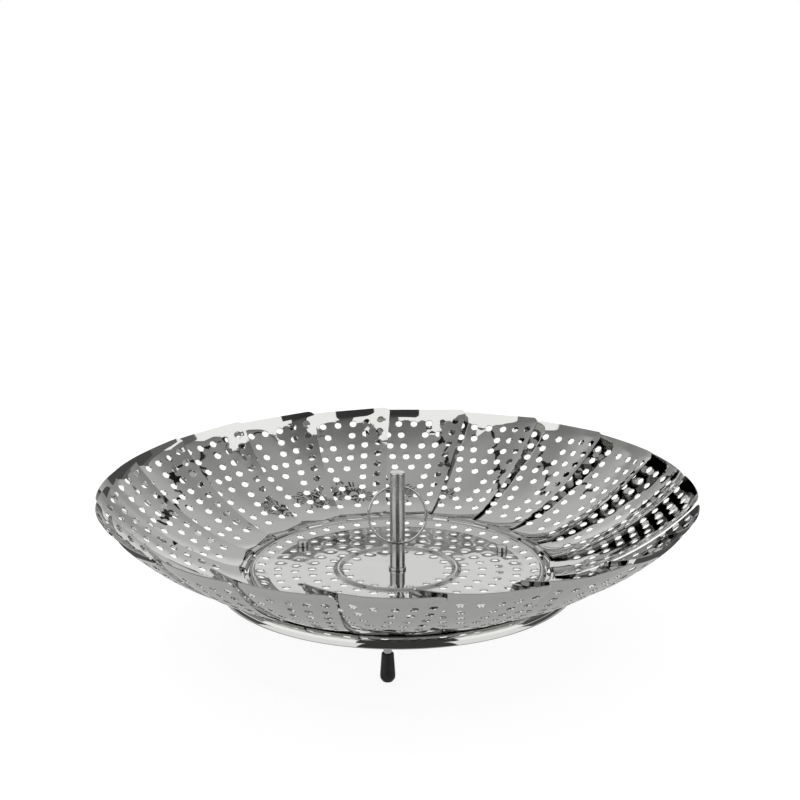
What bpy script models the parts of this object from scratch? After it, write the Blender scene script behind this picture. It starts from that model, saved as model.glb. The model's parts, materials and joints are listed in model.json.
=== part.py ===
"""Folding steamer basket: a perforated pan on three legs, ringed by hinged petals.

The table is at z = 0 and the post stands on the z axis. Lengths are in metres.
Seen from above, each petal's clockwise edge lies on top of the next petal.
"""

import math

import bmesh
import bpy
from mathutils import Matrix, Vector

MM = 0.001

# Fits shared by all pieces
clearance = 0.3 * MM
round_steps = 24
small_round_steps = 16
crease_angle = math.radians(35)

# Pan
pan_sheet = 0.6 * MM
floor_height = 32.0 * MM
bead_radius = 28.4 * MM
bead_half_width = 1.7 * MM
bead_height = 1.2 * MM
bead_steps = 40
bead_profile_steps = 4
flat_radius = 61.4 * MM
lip_radius = 69.3 * MM
lip_height = 1.9 * MM
lip_half_width = 1.0 * MM
lip_drop = 0.45 * MM
ridge_circle = 74.0 * MM
ridge_radius = 1.1 * MM
ridge_drop = 0.2 * MM
ridge_steps = 3
ledge_radius = 82.6 * MM
ledge_drop = 0.4 * MM
band_radius = 86.0 * MM
band_drop = 4.0 * MM
hem_width = 1.0 * MM

# Perforation of the pan: rings of holes about the post
hole_radius = 1.85 * MM
hole_sides = 6
first_ring_radius = 24.6 * MM
ring_spacing = 8.18 * MM
first_ring_holes = 18
ring_holes_added = 6
ring_count = 6
ring_phase_shares = (0.2, 0.7, 0.0, 0.45, 0.0, 0.5)

# Petals
petal_count = 20
first_petal_azimuth = math.radians(14.2)
petal_sheet = 0.5 * MM
petal_length = 77.5 * MM
petal_foot_half_width = 13.0 * MM
petal_top_half_width = 29.8 * MM
petal_corner = 5.0 * MM
petal_foot_gap = 3.0 * MM
petal_foot_slope = math.radians(12.5)
petal_top_slope = math.radians(48.0)
petal_tilt_slope = 0.045
petal_curl_radius = 66.0 * MM
petal_row_shares = (0.0, 0.17, 0.34, 0.51, 0.68, 0.85)
petal_corner_shares = (0.0, 0.65, 1.0)
petal_column_shares = (0.35, 0.7, 1.0)

# Openings of the petals: rows counted from the foot, each opening four-sided
petal_opening_counts = (3, 3, 4, 4, 5, 5)
petal_opening_radius = 3.1 * MM
petal_opening_sides = 4
petal_opening_margin = 5.6 * MM
petal_first_opening_row = 14.0 * MM
petal_last_opening_drop = 10.5 * MM

# Hook that hangs each petal on the pan's ridge
hook_width = 8.0 * MM
hook_offset = 5.0 * MM
hook_room = 0.6 * MM  # play of the straight hook on the curved ridge
hook_wrap = math.radians(95.0)
hook_steps = 3
slot_side_room = 1.2 * MM

# Legs and their silicone feet
leg_count = 3
leg_ring = 4
leg_first_place = 3
leg_radius = 1.9 * MM
leg_shoulder_radius = 3.2 * MM
leg_shoulder_height = 1.2 * MM
leg_stud_radius = 1.4 * MM
leg_stud_rise = 1.7 * MM
leg_nut_radius = 2.75 * MM
leg_nut_height = 2.4 * MM
leg_nut_dome = 0.6 * MM
foot_radius = 3.45 * MM
foot_top_radius = 2.75 * MM
foot_height = 13.6 * MM
foot_flat_depth = 0.5 * MM
foot_floor = 3.4 * MM
foot_steps = 4

# Post
post_radius = 3.6 * MM
post_wall = 0.8 * MM
post_height = 48.5 * MM
post_cap_height = 1.4 * MM
post_cap_chamfer = 0.5 * MM
post_plug_length = 3.4 * MM
post_flange_radius = 4.2 * MM
post_flange_height = 1.1 * MM
post_spigot_length = 8.0 * MM
post_stud_radius = 1.9 * MM
post_stud_length = 6.2 * MM
post_washer_radius = 4.6 * MM
post_washer_height = 0.8 * MM
post_nut_across_flats = 7.0 * MM
post_nut_height = 3.2 * MM

# Ring handle
ring_wire_radius = 0.7 * MM
ring_radius = 13.65 * MM
ring_pivot_drop = 7.5 * MM
ring_hole_radius = 1.25 * MM
ring_steps = 36
ring_wire_steps = 8

# Finishes, as linear colours
steel_colour = (0.78, 0.78, 0.77)
silicone_colour = (0.015, 0.015, 0.016)

# Worked out from the values above
ridge_z = floor_height - ridge_drop
hook_inner_radius = ridge_radius + clearance + hook_room
hook_mid_radius = hook_inner_radius + petal_sheet / 2
hinge_radius = math.sqrt(ridge_circle**2 - hook_offset**2)
slot_width = hook_width + 2 * slot_side_room
slot_inner_radius = hinge_radius - hook_mid_radius - petal_sheet / 2 - clearance
petal_pitch = 2 * math.pi / petal_count
slot_azimuth = first_petal_azimuth + math.asin(hook_offset / ridge_circle)
leg_circle = first_ring_radius + leg_ring * ring_spacing
leg_place_count = first_ring_holes + leg_ring * ring_holes_added
post_bore_radius = post_radius - post_wall
ring_pivot_height = floor_height + post_height - ring_pivot_drop
ring_crossing = post_radius - post_wall / 2
ring_centre_drop = math.sqrt(ring_radius**2 - ring_crossing**2)
ring_lean = math.asin(
    (post_radius + ring_wire_radius + clearance) / (ring_centre_drop + ring_radius)
)


def clear_scene():
    for thing in list(bpy.data.objects):
        bpy.data.objects.remove(thing, do_unlink=True)


def principled(name, colour, metallic, roughness):
    """A material whose Principled shader has one colour, metallic value and roughness."""
    made = bpy.data.materials.new(name)
    made.use_nodes = True
    shader = made.node_tree.nodes["Principled BSDF"]
    shader.inputs["Base Color"].default_value = (*colour, 1.0)
    shader.inputs["Metallic"].default_value = metallic
    shader.inputs["Roughness"].default_value = roughness
    return made


def polished_steel(name):
    return principled(name, steel_colour, metallic=1.0, roughness=0.08)


def black_silicone(name):
    return principled(name, silicone_colour, metallic=0.0, roughness=0.6)


def add_object(name, mesh, material, location=(0, 0, 0), turn=0.0):
    """Puts a mesh in the scene under its own name, turned about z, smooth but for its edges."""
    if not mesh.materials:
        mesh.materials.append(material)
    mesh.shade_smooth()
    mesh.set_sharp_from_angle(angle=crease_angle)
    made = bpy.data.objects.new(name, mesh)
    made.location = location
    made.rotation_euler = (0, 0, turn)
    bpy.context.scene.collection.objects.link(made)
    return made


def to_mesh(bm, name):
    mesh = bpy.data.meshes.new(name)
    bm.to_mesh(mesh)
    bm.free()
    return mesh


def mesh_of(bm, name):
    """The mesh of a finished shape, with its faces pointing outwards."""
    bmesh.ops.recalc_face_normals(bm, faces=bm.faces)
    return to_mesh(bm, name)


def upward_mesh_of(bm, name):
    """The mesh of an open sheet, with its faces pointing up."""
    bmesh.ops.recalc_face_normals(bm, faces=bm.faces)
    if sum(face.normal.z * face.calc_area() for face in bm.faces) < 0:
        bmesh.ops.reverse_faces(bm, faces=bm.faces)
    return to_mesh(bm, name)


def on_circle(radius, angle, z=0.0):
    return Vector((radius * math.cos(angle), radius * math.sin(angle), z))


def add_ring(bm, radius, z, angles):
    return [bm.verts.new(on_circle(radius, angle, z)) for angle in angles]


def even_angles(steps, first=0.0):
    return [first + 2 * math.pi * step / steps for step in range(steps)]


def loop_edges(bm, ring):
    """The edges that close a ring of points, made where they are missing."""
    edges = []
    for start, end in zip(ring, ring[1:] + ring[:1]):
        edges.append(bm.edges.get((start, end)) or bm.edges.new((start, end)))
    return edges


def join_rings(bm, inner, outer, skip=()):
    """Quads between two rings of equally many points, but for the numbered gaps."""
    count = len(inner)
    for step in range(count):
        if step in skip:
            continue
        after = (step + 1) % count
        bm.faces.new((inner[step], outer[step], outer[after], inner[after]))


def turned(name, profile, steps=round_steps):
    """A solid of revolution. Its profile is (radius, z) points, and ends on the axis or closes."""
    bm = bmesh.new()
    angles = even_angles(steps)
    rings = []
    for radius, z in profile:
        if radius == 0:
            rings.append([bm.verts.new((0, 0, z))])
        else:
            rings.append(add_ring(bm, radius, z, angles))
    pairs = list(zip(rings, rings[1:]))
    if len(rings[0]) > 1:
        pairs.append((rings[-1], rings[0]))
    for below, above in pairs:
        if len(below) > 1 and len(above) > 1:
            join_rings(bm, below, above)
            continue
        tip, ring = (below, above) if len(below) == 1 else (above, below)
        for start, end in zip(ring, ring[1:] + ring[:1]):
            bm.faces.new((tip[0], start, end))
    return mesh_of(bm, name)


def arc_points(centre_radius, centre_z, radius, start, end, steps):
    """Points of an arc in the profile plane, from the start angle to the end angle."""
    points = []
    for step in range(steps + 1):
        angle = start + (end - start) * step / steps
        points.append(
            (
                centre_radius + radius * math.cos(angle),
                centre_z + radius * math.sin(angle),
            )
        )
    return points


def pan_floor_z(radius):
    """The pan's top surface: flat inside, then a shallow cone up to the lip."""
    cone_width = lip_radius - lip_half_width - flat_radius
    rise = lip_height - lip_drop
    return floor_height + rise * max(0.0, radius - flat_radius) / cone_width


def leg_azimuths():
    place = 2 * math.pi / leg_place_count
    return [
        place * (leg_first_place + leg * leg_place_count / leg_count)
        for leg in range(leg_count)
    ]


def perforation_places():
    """(ring number, radius, azimuth) of each hole, leaving out the places that the legs take."""
    taken = [round(azimuth, 6) for azimuth in leg_azimuths()]
    places = []
    for ring in range(ring_count):
        holes = first_ring_holes + ring * ring_holes_added
        radius = first_ring_radius + ring * ring_spacing
        pitch = 2 * math.pi / holes
        for hole in range(holes):
            azimuth = pitch * (hole + ring_phase_shares[ring])
            if ring == leg_ring and round(azimuth, 6) in taken:
                continue
            places.append((ring, radius, azimuth))
    return places


def hole_loop(bm, radius, azimuth, size, sides):
    """A closed loop of points round a hole in the pan, on the pan's top surface."""
    centre = on_circle(radius, azimuth)
    ring = []
    for angle in even_angles(sides, azimuth):
        point = centre + on_circle(size, angle)
        point.z = pan_floor_z(point.length)
        ring.append(bm.verts.new(point))
    return loop_edges(bm, ring)


def fill(bm, edges):
    bmesh.ops.triangle_fill(bm, edges=edges, use_beauty=True, normal=(0, 0, 1))


def slotted_angles():
    """Azimuths of the pan's outer rings: a slot, then two steps to the next slot."""
    half_slot = math.asin(slot_width / 2 / ridge_circle)
    land = petal_pitch - 2 * half_slot
    angles = []
    for petal in range(petal_count):
        middle = slot_azimuth + petal * petal_pitch
        angles.append(middle - half_slot)
        angles.append(middle + half_slot)
        angles.append(middle + half_slot + land / 2)
    return angles


def bead_profile():
    """The raised ring round the centre, as half an ellipse."""
    points = []
    for step in range(bead_profile_steps + 1):
        angle = math.pi - math.pi * step / bead_profile_steps
        points.append(
            (
                bead_radius + bead_half_width * math.cos(angle),
                floor_height + bead_height * math.sin(angle),
            )
        )
    return points


def rim_profile():
    """The pan's top surface from the floor's cone out over lip, ridge, ledge and band."""
    cone_end = lip_radius - lip_half_width
    ledge_z = floor_height - ledge_drop
    round_radius = band_radius - ledge_radius
    points = [
        (cone_end, pan_floor_z(cone_end)),
        (lip_radius, floor_height + lip_height),
        (lip_radius + lip_half_width, floor_height + lip_height - lip_drop),
        (slot_inner_radius, ridge_z),
    ]
    ridge_start = len(points)
    points += arc_points(ridge_circle, ridge_z, ridge_radius, math.pi, 0, ridge_steps)
    points.append((ledge_radius, ledge_z))
    points += arc_points(
        ledge_radius, ledge_z - round_radius, round_radius, math.radians(45), 0, 1
    )
    points.append((band_radius, floor_height - band_drop))
    points.append((band_radius - hem_width, floor_height - band_drop))
    return points, ridge_start


def build_pan():
    """The pan is modelled as its top surface and given the sheet's thickness downwards."""
    bm = bmesh.new()
    places = perforation_places()

    bead = [
        add_ring(bm, radius, z, even_angles(bead_steps)) for radius, z in bead_profile()
    ]
    for inner, outer in zip(bead, bead[1:]):
        join_rings(bm, inner, outer)

    stud_room = post_stud_radius + clearance
    post_hole = hole_loop(bm, 0.0, 0.0, stud_room, small_round_steps)
    centre_edges = loop_edges(bm, bead[0]) + post_hole
    for ring, radius, azimuth in places:
        if ring == 0:
            centre_edges += hole_loop(bm, radius, azimuth, hole_radius, hole_sides)
    fill(bm, centre_edges)

    angles = slotted_angles()
    crease = add_ring(bm, flat_radius, floor_height, angles)
    floor_edges = loop_edges(bm, bead[-1]) + loop_edges(bm, crease)
    for ring, radius, azimuth in places:
        if 0 < ring < ring_count - 1:
            floor_edges += hole_loop(bm, radius, azimuth, hole_radius, hole_sides)
    for azimuth in leg_azimuths():
        leg_hole = leg_stud_radius + clearance
        floor_edges += hole_loop(bm, leg_circle, azimuth, leg_hole, small_round_steps)
    fill(bm, floor_edges)

    profile, ridge_start = rim_profile()
    rim = [add_ring(bm, radius, z, angles) for radius, z in profile]
    cone_edges = loop_edges(bm, crease) + loop_edges(bm, rim[0])
    for ring, radius, azimuth in places:
        if ring == ring_count - 1:
            cone_edges += hole_loop(bm, radius, azimuth, hole_radius, hole_sides)
    fill(bm, cone_edges)

    slots = range(0, len(angles), len(angles) // petal_count)
    for number, (inner, outer) in enumerate(zip(rim, rim[1:])):
        join_rings(bm, inner, outer, skip=slots if number == ridge_start - 1 else ())

    pan = add_object("pan", upward_mesh_of(bm, "pan"), polished_steel("pan_steel"))
    wall = pan.modifiers.new("sheet", "SOLIDIFY")
    wall.thickness = pan_sheet
    wall.offset = -1.0
    wall.use_even_offset = True


def petal_slope(along):
    turn = petal_top_slope - petal_foot_slope
    return petal_foot_slope + turn * along / petal_length


def petal_point(across, along, lift):
    """A point of a petal in its own frame: x outward from the hinge, y against the clock.

    The middle line is an arc that starts straight above the hinge and steepens to the rim.
    """
    arc_radius = petal_length / (petal_top_slope - petal_foot_slope)
    slope = petal_slope(along)
    centre_height = hook_mid_radius + arc_radius
    centre_x = -centre_height * math.sin(petal_foot_slope)
    centre_z = centre_height * math.cos(petal_foot_slope)
    x = centre_x + (arc_radius - lift) * math.sin(slope)
    z = centre_z - (arc_radius - lift) * math.cos(slope)
    return Vector((x, -across, z))


def petal_lift(across):
    """How far the sheet stands off its middle line: tilted all over, curled in clockwise."""
    curled = max(0.0, across)
    return petal_tilt_slope * across + curled**2 / (2 * petal_curl_radius)


def petal_half_width(along):
    """Half the petal's width at a place along it, with its top corners rounded."""
    growth = petal_top_half_width - petal_foot_half_width
    run = petal_length - petal_foot_gap
    width = petal_foot_half_width + growth * (along - petal_foot_gap) / run
    into_corner = max(0.0, along - (petal_length - petal_corner))
    return (
        width - petal_corner + math.sqrt(max(0.0, petal_corner**2 - into_corner**2))
    )


def petal_outline(hook_shares):
    """(across, along) round the flat petal: up its right side, over the top and back."""
    straight = petal_length - petal_corner - petal_foot_gap
    stations = [petal_foot_gap + share * straight for share in petal_row_shares]
    corner_start = petal_length - petal_corner
    stations += [corner_start + share * petal_corner for share in petal_corner_shares]
    columns = [*hook_shares, *petal_column_shares[:-1]]
    right = [(petal_half_width(along), along) for along in stations]
    left = [(-across, along) for across, along in reversed(right)]
    top_half = petal_half_width(petal_length)
    top = [(share * top_half, petal_length) for share in reversed(columns)]
    foot_half = petal_half_width(petal_foot_gap)
    foot = [(share * foot_half, petal_foot_gap) for share in columns]
    return right + top + left + foot


def petal_opening_places():
    """(across, along) of the middle of each opening in a petal."""
    last_row = petal_length - petal_last_opening_drop
    pitch = (last_row - petal_first_opening_row) / (len(petal_opening_counts) - 1)
    places = []
    for row, count in enumerate(petal_opening_counts):
        along = petal_first_opening_row + row * pitch
        reach = petal_half_width(along) - petal_opening_margin
        for number in range(count):
            places.append((reach * (2 * number / (count - 1) - 1), along))
    return places


def petal_mesh():
    """One petal with its openings and hook, as a thin sheet that all the petals share.

    It is filled flat, with x across and y along, and then each point goes to its place.
    """
    bm = bmesh.new()
    hook_edges = (-hook_offset - hook_width / 2, -hook_offset + hook_width / 2)
    hook_shares = [edge / petal_foot_half_width for edge in hook_edges]
    outline = [bm.verts.new((*place, 0)) for place in petal_outline(hook_shares)]
    edges = loop_edges(bm, outline)
    for across, along in petal_opening_places():
        middle = Vector((across, along, 0))
        angles = even_angles(petal_opening_sides)
        ring = [bm.verts.new(middle + on_circle(petal_opening_radius, angle)) for angle in angles]
        edges += loop_edges(bm, ring)
    fill(bm, edges)
    for point in bm.verts:
        point.co = petal_point(point.co.x, point.co.y, petal_lift(point.co.x))

    foot_points = len(hook_shares) + len(petal_column_shares) - 1
    hook = outline[-foot_points : -foot_points + 2]
    crown = petal_foot_slope + math.radians(90)
    for step in range(hook_steps + 1):
        angle = crown + hook_wrap * step / hook_steps
        x = hook_mid_radius * math.cos(angle)
        z = hook_mid_radius * math.sin(angle)
        after = [bm.verts.new((x, -across, z)) for across in hook_edges]
        bm.faces.new((hook[0], hook[1], after[1], after[0]))
        hook = after
    return mesh_of(bm, "petal")


def build_petals():
    mesh = petal_mesh()
    for number in range(petal_count):
        azimuth = first_petal_azimuth + number * petal_pitch
        name = f"petal_{number + 1:02d}"
        copy = mesh.copy()
        petal = add_object(
            name,
            copy,
            polished_steel(f"{name}_steel"),
            on_circle(hinge_radius, azimuth, ridge_z),
            azimuth,
        )
        wall = petal.modifiers.new("sheet", "SOLIDIFY")
        wall.thickness = petal_sheet
        wall.offset = 0.0
        wall.use_even_offset = True


def leg_profile():
    top = floor_height - pan_sheet - clearance
    bottom = foot_floor + clearance
    return [
        (0.0, bottom),
        (leg_radius, bottom),
        (leg_radius, top - leg_shoulder_height),
        (leg_shoulder_radius, top - leg_shoulder_height),
        (leg_shoulder_radius, top),
        (leg_stud_radius, top),
        (leg_stud_radius, floor_height + leg_stud_rise),
        (0.0, floor_height + leg_stud_rise),
    ]


def leg_nut_profile():
    base = floor_height + clearance
    bore = leg_stud_radius + clearance
    bore_top = floor_height + leg_stud_rise + clearance
    top = base + leg_nut_height
    return [
        (0.0, bore_top),
        (bore, bore_top),
        (bore, base),
        (leg_nut_radius, base),
        (leg_nut_radius, top - leg_nut_dome),
        (leg_nut_radius - leg_nut_dome, top),
        (0.0, top),
    ]


def foot_profile():
    """A bored sleeve with a round end, cut flat where it stands on the table."""
    centre_z = foot_radius - foot_flat_depth
    flat_angle = -math.asin(centre_z / foot_radius)
    bore = leg_radius + clearance
    points = [(0.0, 0.0)]
    points += arc_points(0.0, centre_z, foot_radius, flat_angle, 0, foot_steps)
    points += [
        (foot_top_radius, foot_height),
        (bore, foot_height),
        (bore, foot_floor),
        (0.0, foot_floor),
    ]
    return points


def build_legs():
    for side, azimuth in zip(("right", "left", "front"), leg_azimuths()):
        place = on_circle(leg_circle, azimuth)
        pieces = (
            ("leg_rod", leg_profile(), polished_steel),
            ("leg_nut", leg_nut_profile(), polished_steel),
            ("foot", foot_profile(), black_silicone),
        )
        for piece, profile, finish in pieces:
            name = f"{side}_{piece}"
            mesh = turned(name, profile, small_round_steps)
            add_object(name, mesh, finish(f"{name}_finish"), place)


def post_foot_profile():
    """The turned plug that the tube stands on, with a stud down through the pan."""
    base = floor_height + clearance
    flange_top = base + post_flange_height
    spigot_radius = post_bore_radius - clearance
    return [
        (0.0, base - post_stud_length),
        (post_stud_radius, base - post_stud_length),
        (post_stud_radius, base),
        (post_flange_radius, base),
        (post_flange_radius, flange_top),
        (spigot_radius, flange_top),
        (spigot_radius, flange_top + post_spigot_length),
        (0.0, flange_top + post_spigot_length),
    ]


def post_tube_profile():
    bottom = floor_height + post_flange_height + 2 * clearance
    top = floor_height + post_height - post_cap_height - clearance
    return [
        (post_bore_radius, bottom),
        (post_radius, bottom),
        (post_radius, top),
        (post_bore_radius, top),
    ]


def post_cap_profile():
    top = floor_height + post_height
    seat = top - post_cap_height
    plug_radius = post_bore_radius - clearance
    return [
        (0.0, seat - post_plug_length),
        (plug_radius, seat - post_plug_length),
        (plug_radius, seat),
        (post_radius, seat),
        (post_radius, top - post_cap_chamfer),
        (post_radius - post_cap_chamfer, top),
        (0.0, top),
    ]


def washer_profile():
    top = floor_height - pan_sheet - clearance
    bore = post_stud_radius + clearance
    return [
        (bore, top - post_washer_height),
        (post_washer_radius, top - post_washer_height),
        (post_washer_radius, top),
        (bore, top),
    ]


def post_nut_mesh():
    """A hexagon nut with a round bore, filled between its two outlines and pulled down."""
    bm = bmesh.new()
    corner_radius = post_nut_across_flats / 2 / math.cos(math.radians(30))
    bore = post_stud_radius + clearance
    top = floor_height - pan_sheet - post_washer_height - 2 * clearance
    outline = add_ring(bm, corner_radius, top, even_angles(6))
    hole = add_ring(bm, bore, top, even_angles(small_round_steps))
    fill(bm, loop_edges(bm, outline) + loop_edges(bm, hole))
    pulled = bmesh.ops.extrude_face_region(bm, geom=bm.faces[:])
    moved = [item for item in pulled["geom"] if isinstance(item, bmesh.types.BMVert)]
    bmesh.ops.translate(bm, verts=moved, vec=(0, 0, -post_nut_height))
    return mesh_of(bm, "post_nut")


def build_post():
    for name, profile in (
        ("post_foot", post_foot_profile()),
        ("post_cap", post_cap_profile()),
        ("post_washer", washer_profile()),
    ):
        add_object(name, turned(name, profile), polished_steel(f"{name}_steel"))
    add_object("post_nut", post_nut_mesh(), polished_steel("post_nut_steel"))

    tube = turned("post_tube", post_tube_profile())
    tube = add_object("post_tube", tube, polished_steel("post_tube_steel"))
    reach = 2 * post_radius
    drill_profile = [
        (0.0, -reach),
        (ring_hole_radius, -reach),
        (ring_hole_radius, reach),
        (0.0, reach),
    ]
    drill = turned("ring_drill", drill_profile, small_round_steps)
    drill.transform(Matrix.Rotation(math.radians(90), 4, "Y"))
    cutter = bpy.data.objects.new("ring_drill", drill)
    cutter.location = (0, 0, ring_pivot_height)
    cutter.hide_render = True
    cutter.display_type = "WIRE"
    bpy.context.scene.collection.objects.link(cutter)
    cut = tube.modifiers.new("ring_hole", "BOOLEAN")
    cut.operation = "DIFFERENCE"
    cut.solver = "EXACT"
    cut.object = cutter


def build_ring_handle():
    """A wire ring through the post's cross hole, leaning on the front of the post."""
    bm = bmesh.new()
    loops = []
    for turn in even_angles(ring_steps):
        loop = []
        for angle in even_angles(ring_wire_steps):
            reach = ring_radius + ring_wire_radius * math.cos(angle)
            loop.append(
                bm.verts.new(
                    (
                        reach * math.sin(turn),
                        ring_wire_radius * math.sin(angle),
                        reach * math.cos(turn) - ring_centre_drop,
                    )
                )
            )
        loops.append(loop)
    for one, other in zip(loops, loops[1:] + loops[:1]):
        join_rings(bm, one, other)
    ring = add_object(
        "ring_handle",
        mesh_of(bm, "ring_handle"),
        polished_steel("ring_handle_steel"),
        (0, 0, ring_pivot_height),
    )
    ring.rotation_euler = (-ring_lean, 0, 0)


clear_scene()
build_pan()
build_petals()
build_post()
build_ring_handle()
build_legs()
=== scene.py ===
# %% [markdown]
# # A folding steamer basket in polished steel
# The real thing is a shallow perforated pan on three short legs, with a ring of perforated petals hooked
# round its rim and a post with a wire ring in the middle. Everything is thin stainless steel, so most of
# the picture is reflections. This lesson presses each sheet piece the way a workshop would: a flat blank
# is cut, punched, and only then bent to shape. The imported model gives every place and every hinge, and
# nothing here moves it.

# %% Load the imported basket
import json
import math

import bmesh
import bpy
from mathutils import Matrix, Vector


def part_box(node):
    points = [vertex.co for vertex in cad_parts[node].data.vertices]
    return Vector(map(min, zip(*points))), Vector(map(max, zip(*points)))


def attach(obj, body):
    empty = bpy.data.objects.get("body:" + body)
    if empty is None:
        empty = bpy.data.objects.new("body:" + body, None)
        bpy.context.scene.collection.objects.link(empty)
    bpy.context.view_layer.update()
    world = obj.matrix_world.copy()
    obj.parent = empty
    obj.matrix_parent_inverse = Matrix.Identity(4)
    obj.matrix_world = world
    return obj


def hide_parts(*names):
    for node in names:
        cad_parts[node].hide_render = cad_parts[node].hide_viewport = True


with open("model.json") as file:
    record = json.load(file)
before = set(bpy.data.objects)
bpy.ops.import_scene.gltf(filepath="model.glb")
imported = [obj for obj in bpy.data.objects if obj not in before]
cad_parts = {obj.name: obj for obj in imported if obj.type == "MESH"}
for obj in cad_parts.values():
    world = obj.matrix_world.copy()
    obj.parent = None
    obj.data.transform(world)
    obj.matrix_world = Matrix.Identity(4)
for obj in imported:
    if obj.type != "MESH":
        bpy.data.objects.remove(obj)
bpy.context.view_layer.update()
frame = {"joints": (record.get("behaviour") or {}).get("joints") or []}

# %% [markdown]
# ## Small helpers
# Sizes are typed in millimetres and colours as sRGB hex codes, because that is how a maker reads them off
# a drawing or a swatch. Blender works in metres and linear light, so one value and one function convert
# them. A third helper adds a shader or geometry node and joins up its inputs, which keeps the long node
# trees below short enough to read.

# %% Units, colours and nodes
MM = 0.001


def colour(code):
    """An sRGB hex code as linear red, green, blue and alpha."""
    shares = [int(code[start:start + 2], 16) / 255 for start in (1, 3, 5)]
    linear = [
        share / 12.92 if share <= 0.04045 else ((share + 0.055) / 1.055) ** 2.4
        for share in shares
    ]
    return (*linear, 1.0)


def add_node(tree, kind, inputs=None, **settings):
    """Adds a node, sets its properties, then links or fills its inputs by name or number."""
    node = tree.nodes.new(kind)
    for name, value in settings.items():
        setattr(node, name, value)
    for socket, value in (inputs or {}).items():
        if isinstance(value, bpy.types.NodeSocket):
            tree.links.new(value, node.inputs[socket])
        else:
            node.inputs[socket].default_value = value
    return node


print("white is", colour("#FFFFFF"))

# %% [markdown]
# ## The camera
# The photograph looks down on the pan's floor at about 21 degrees, from about 0.76 m away. A long lens
# keeps the round rim from bulging. The place and the lens were fitted to the rim, the pan and the post,
# and they are set here as plain numbers.

# %% Place the camera
camera_place = (1.23 * MM, -712.6 * MM, 302.4 * MM)
camera_pitch = math.radians(75.32)
lens_mm = 71.0
sensor_width_mm = 36.0

camera = bpy.data.objects.new("camera", bpy.data.cameras.new("camera"))
camera.location = camera_place
camera.rotation_euler = (camera_pitch, 0, 0)
camera.data.lens = lens_mm
camera.data.sensor_width = sensor_width_mm
camera.data.dof.use_dof = False
bpy.context.scene.collection.objects.link(camera)
bpy.context.scene.camera = camera
bpy.context.scene.view_settings.view_transform = "Standard"
print("camera at", [round(value, 4) for value in camera.location])

# %% [markdown]
# ## How a finish is built
# A flat colour would make polished metal look like plastic, because a mirror shows how it was finished.
# So every steel here varies its roughness with noise, in patches of a real size, and the sheets, the wire
# and the silicone also tip the surface with a very weak bump. Two of these helpers do those two things.
# Steel starts as a pure metal and keeps its shader's own index of refraction.

# %% Start a material and vary its surface
steel_tint = "#C6C6C4"
noise_span = (0.3, 0.7)


def start_material(name):
    """A new material with its tree, its Principled shader and its Object coordinates."""
    made = bpy.data.materials.new(name)
    made.use_nodes = True
    tree = made.node_tree
    shader = tree.nodes["Principled BSDF"]
    place = add_node(tree, "ShaderNodeTexCoord").outputs["Object"]
    return made, tree, shader, place


def start_steel(name):
    """The same for a bare metal in the colour of stainless steel."""
    made, tree, shader, place = start_material(name)
    shader.inputs["Base Color"].default_value = colour(steel_tint)
    shader.inputs["Metallic"].default_value = 1.0
    return made, tree, shader, place


def vary_roughness(tree, shader, place, patch_mm, detail, roughness, span=noise_span):
    """Runs the roughness between two values with noise: patch_mm is the width of one patch."""
    patches = add_node(
        tree, "ShaderNodeTexNoise", {"Vector": place, "Scale": 1 / (patch_mm * MM), "Detail": detail}
    )
    low, high = span
    smoothest, roughest = roughness
    varied = add_node(
        tree,
        "ShaderNodeMapRange",
        {"Value": patches.outputs["Fac"], "From Min": low, "From Max": high,
         "To Min": smoothest, "To Max": roughest},
    )
    tree.links.new(varied.outputs["Result"], shader.inputs["Roughness"])


def emboss(tree, shader, pattern, depth_mm, strength=1.0):
    """Tips the surface by a pattern of this depth, on top of any bump that is there already."""
    inputs = {"Strength": strength, "Distance": depth_mm * MM, "Height": pattern}
    for link in shader.inputs["Normal"].links:
        inputs["Normal"] = link.from_socket
    bump = add_node(tree, "ShaderNodeBump", inputs)
    tree.links.new(bump.outputs["Normal"], shader.inputs["Normal"])


print("steel is", [round(value, 3) for value in colour(steel_tint)])

# %% [markdown]
# ## Steel finishes
# All the metal is AISI 304 stainless steel, but each piece was finished in its own way. The petals are
# bright-annealed sheet, tumbled after pressing, so they are mirrors with a faint haze and a slight swell.
# The pan was buffed on a wheel, which leaves fine rings; real ones are too fine for the picture, so they
# are drawn about 5 mm apart. The post, the legs and the nuts are polished as they spin, which smears a
# reflection along the piece and keeps it sharp across. The ring is drawn wire, polished like the petals
# but with almost no swell.

# %% Build the steel finishes
haze_patch_mm = 9.0
clearest = 0.02
pan_ring_mm = 5.0265
pan_ring_depth_mm = 0.002
wave_rings = 20 / (2 * math.pi)  # rings per metre in the Wave texture at a scale of 1
along_the_bar = (0.02, 0.02, 1.0)
evenness = 0.9


def polished_sheet(name, swell_mm, swell_height_mm, haze):
    """Bright-annealed 304 sheet: a clear mirror with patches of haze and a slow swell.

    swell_mm is the width of one swell, swell_height_mm its height, haze the roughest patch.
    """
    made, tree, shader, place = start_steel(name)
    vary_roughness(tree, shader, place, haze_patch_mm, 4.0, (clearest, haze))
    swell = add_node(
        tree, "ShaderNodeTexNoise", {"Vector": place, "Scale": 1 / (swell_mm * MM), "Detail": 1.0}
    )
    emboss(tree, shader, swell.outputs["Fac"], swell_height_mm)
    return made


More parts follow.
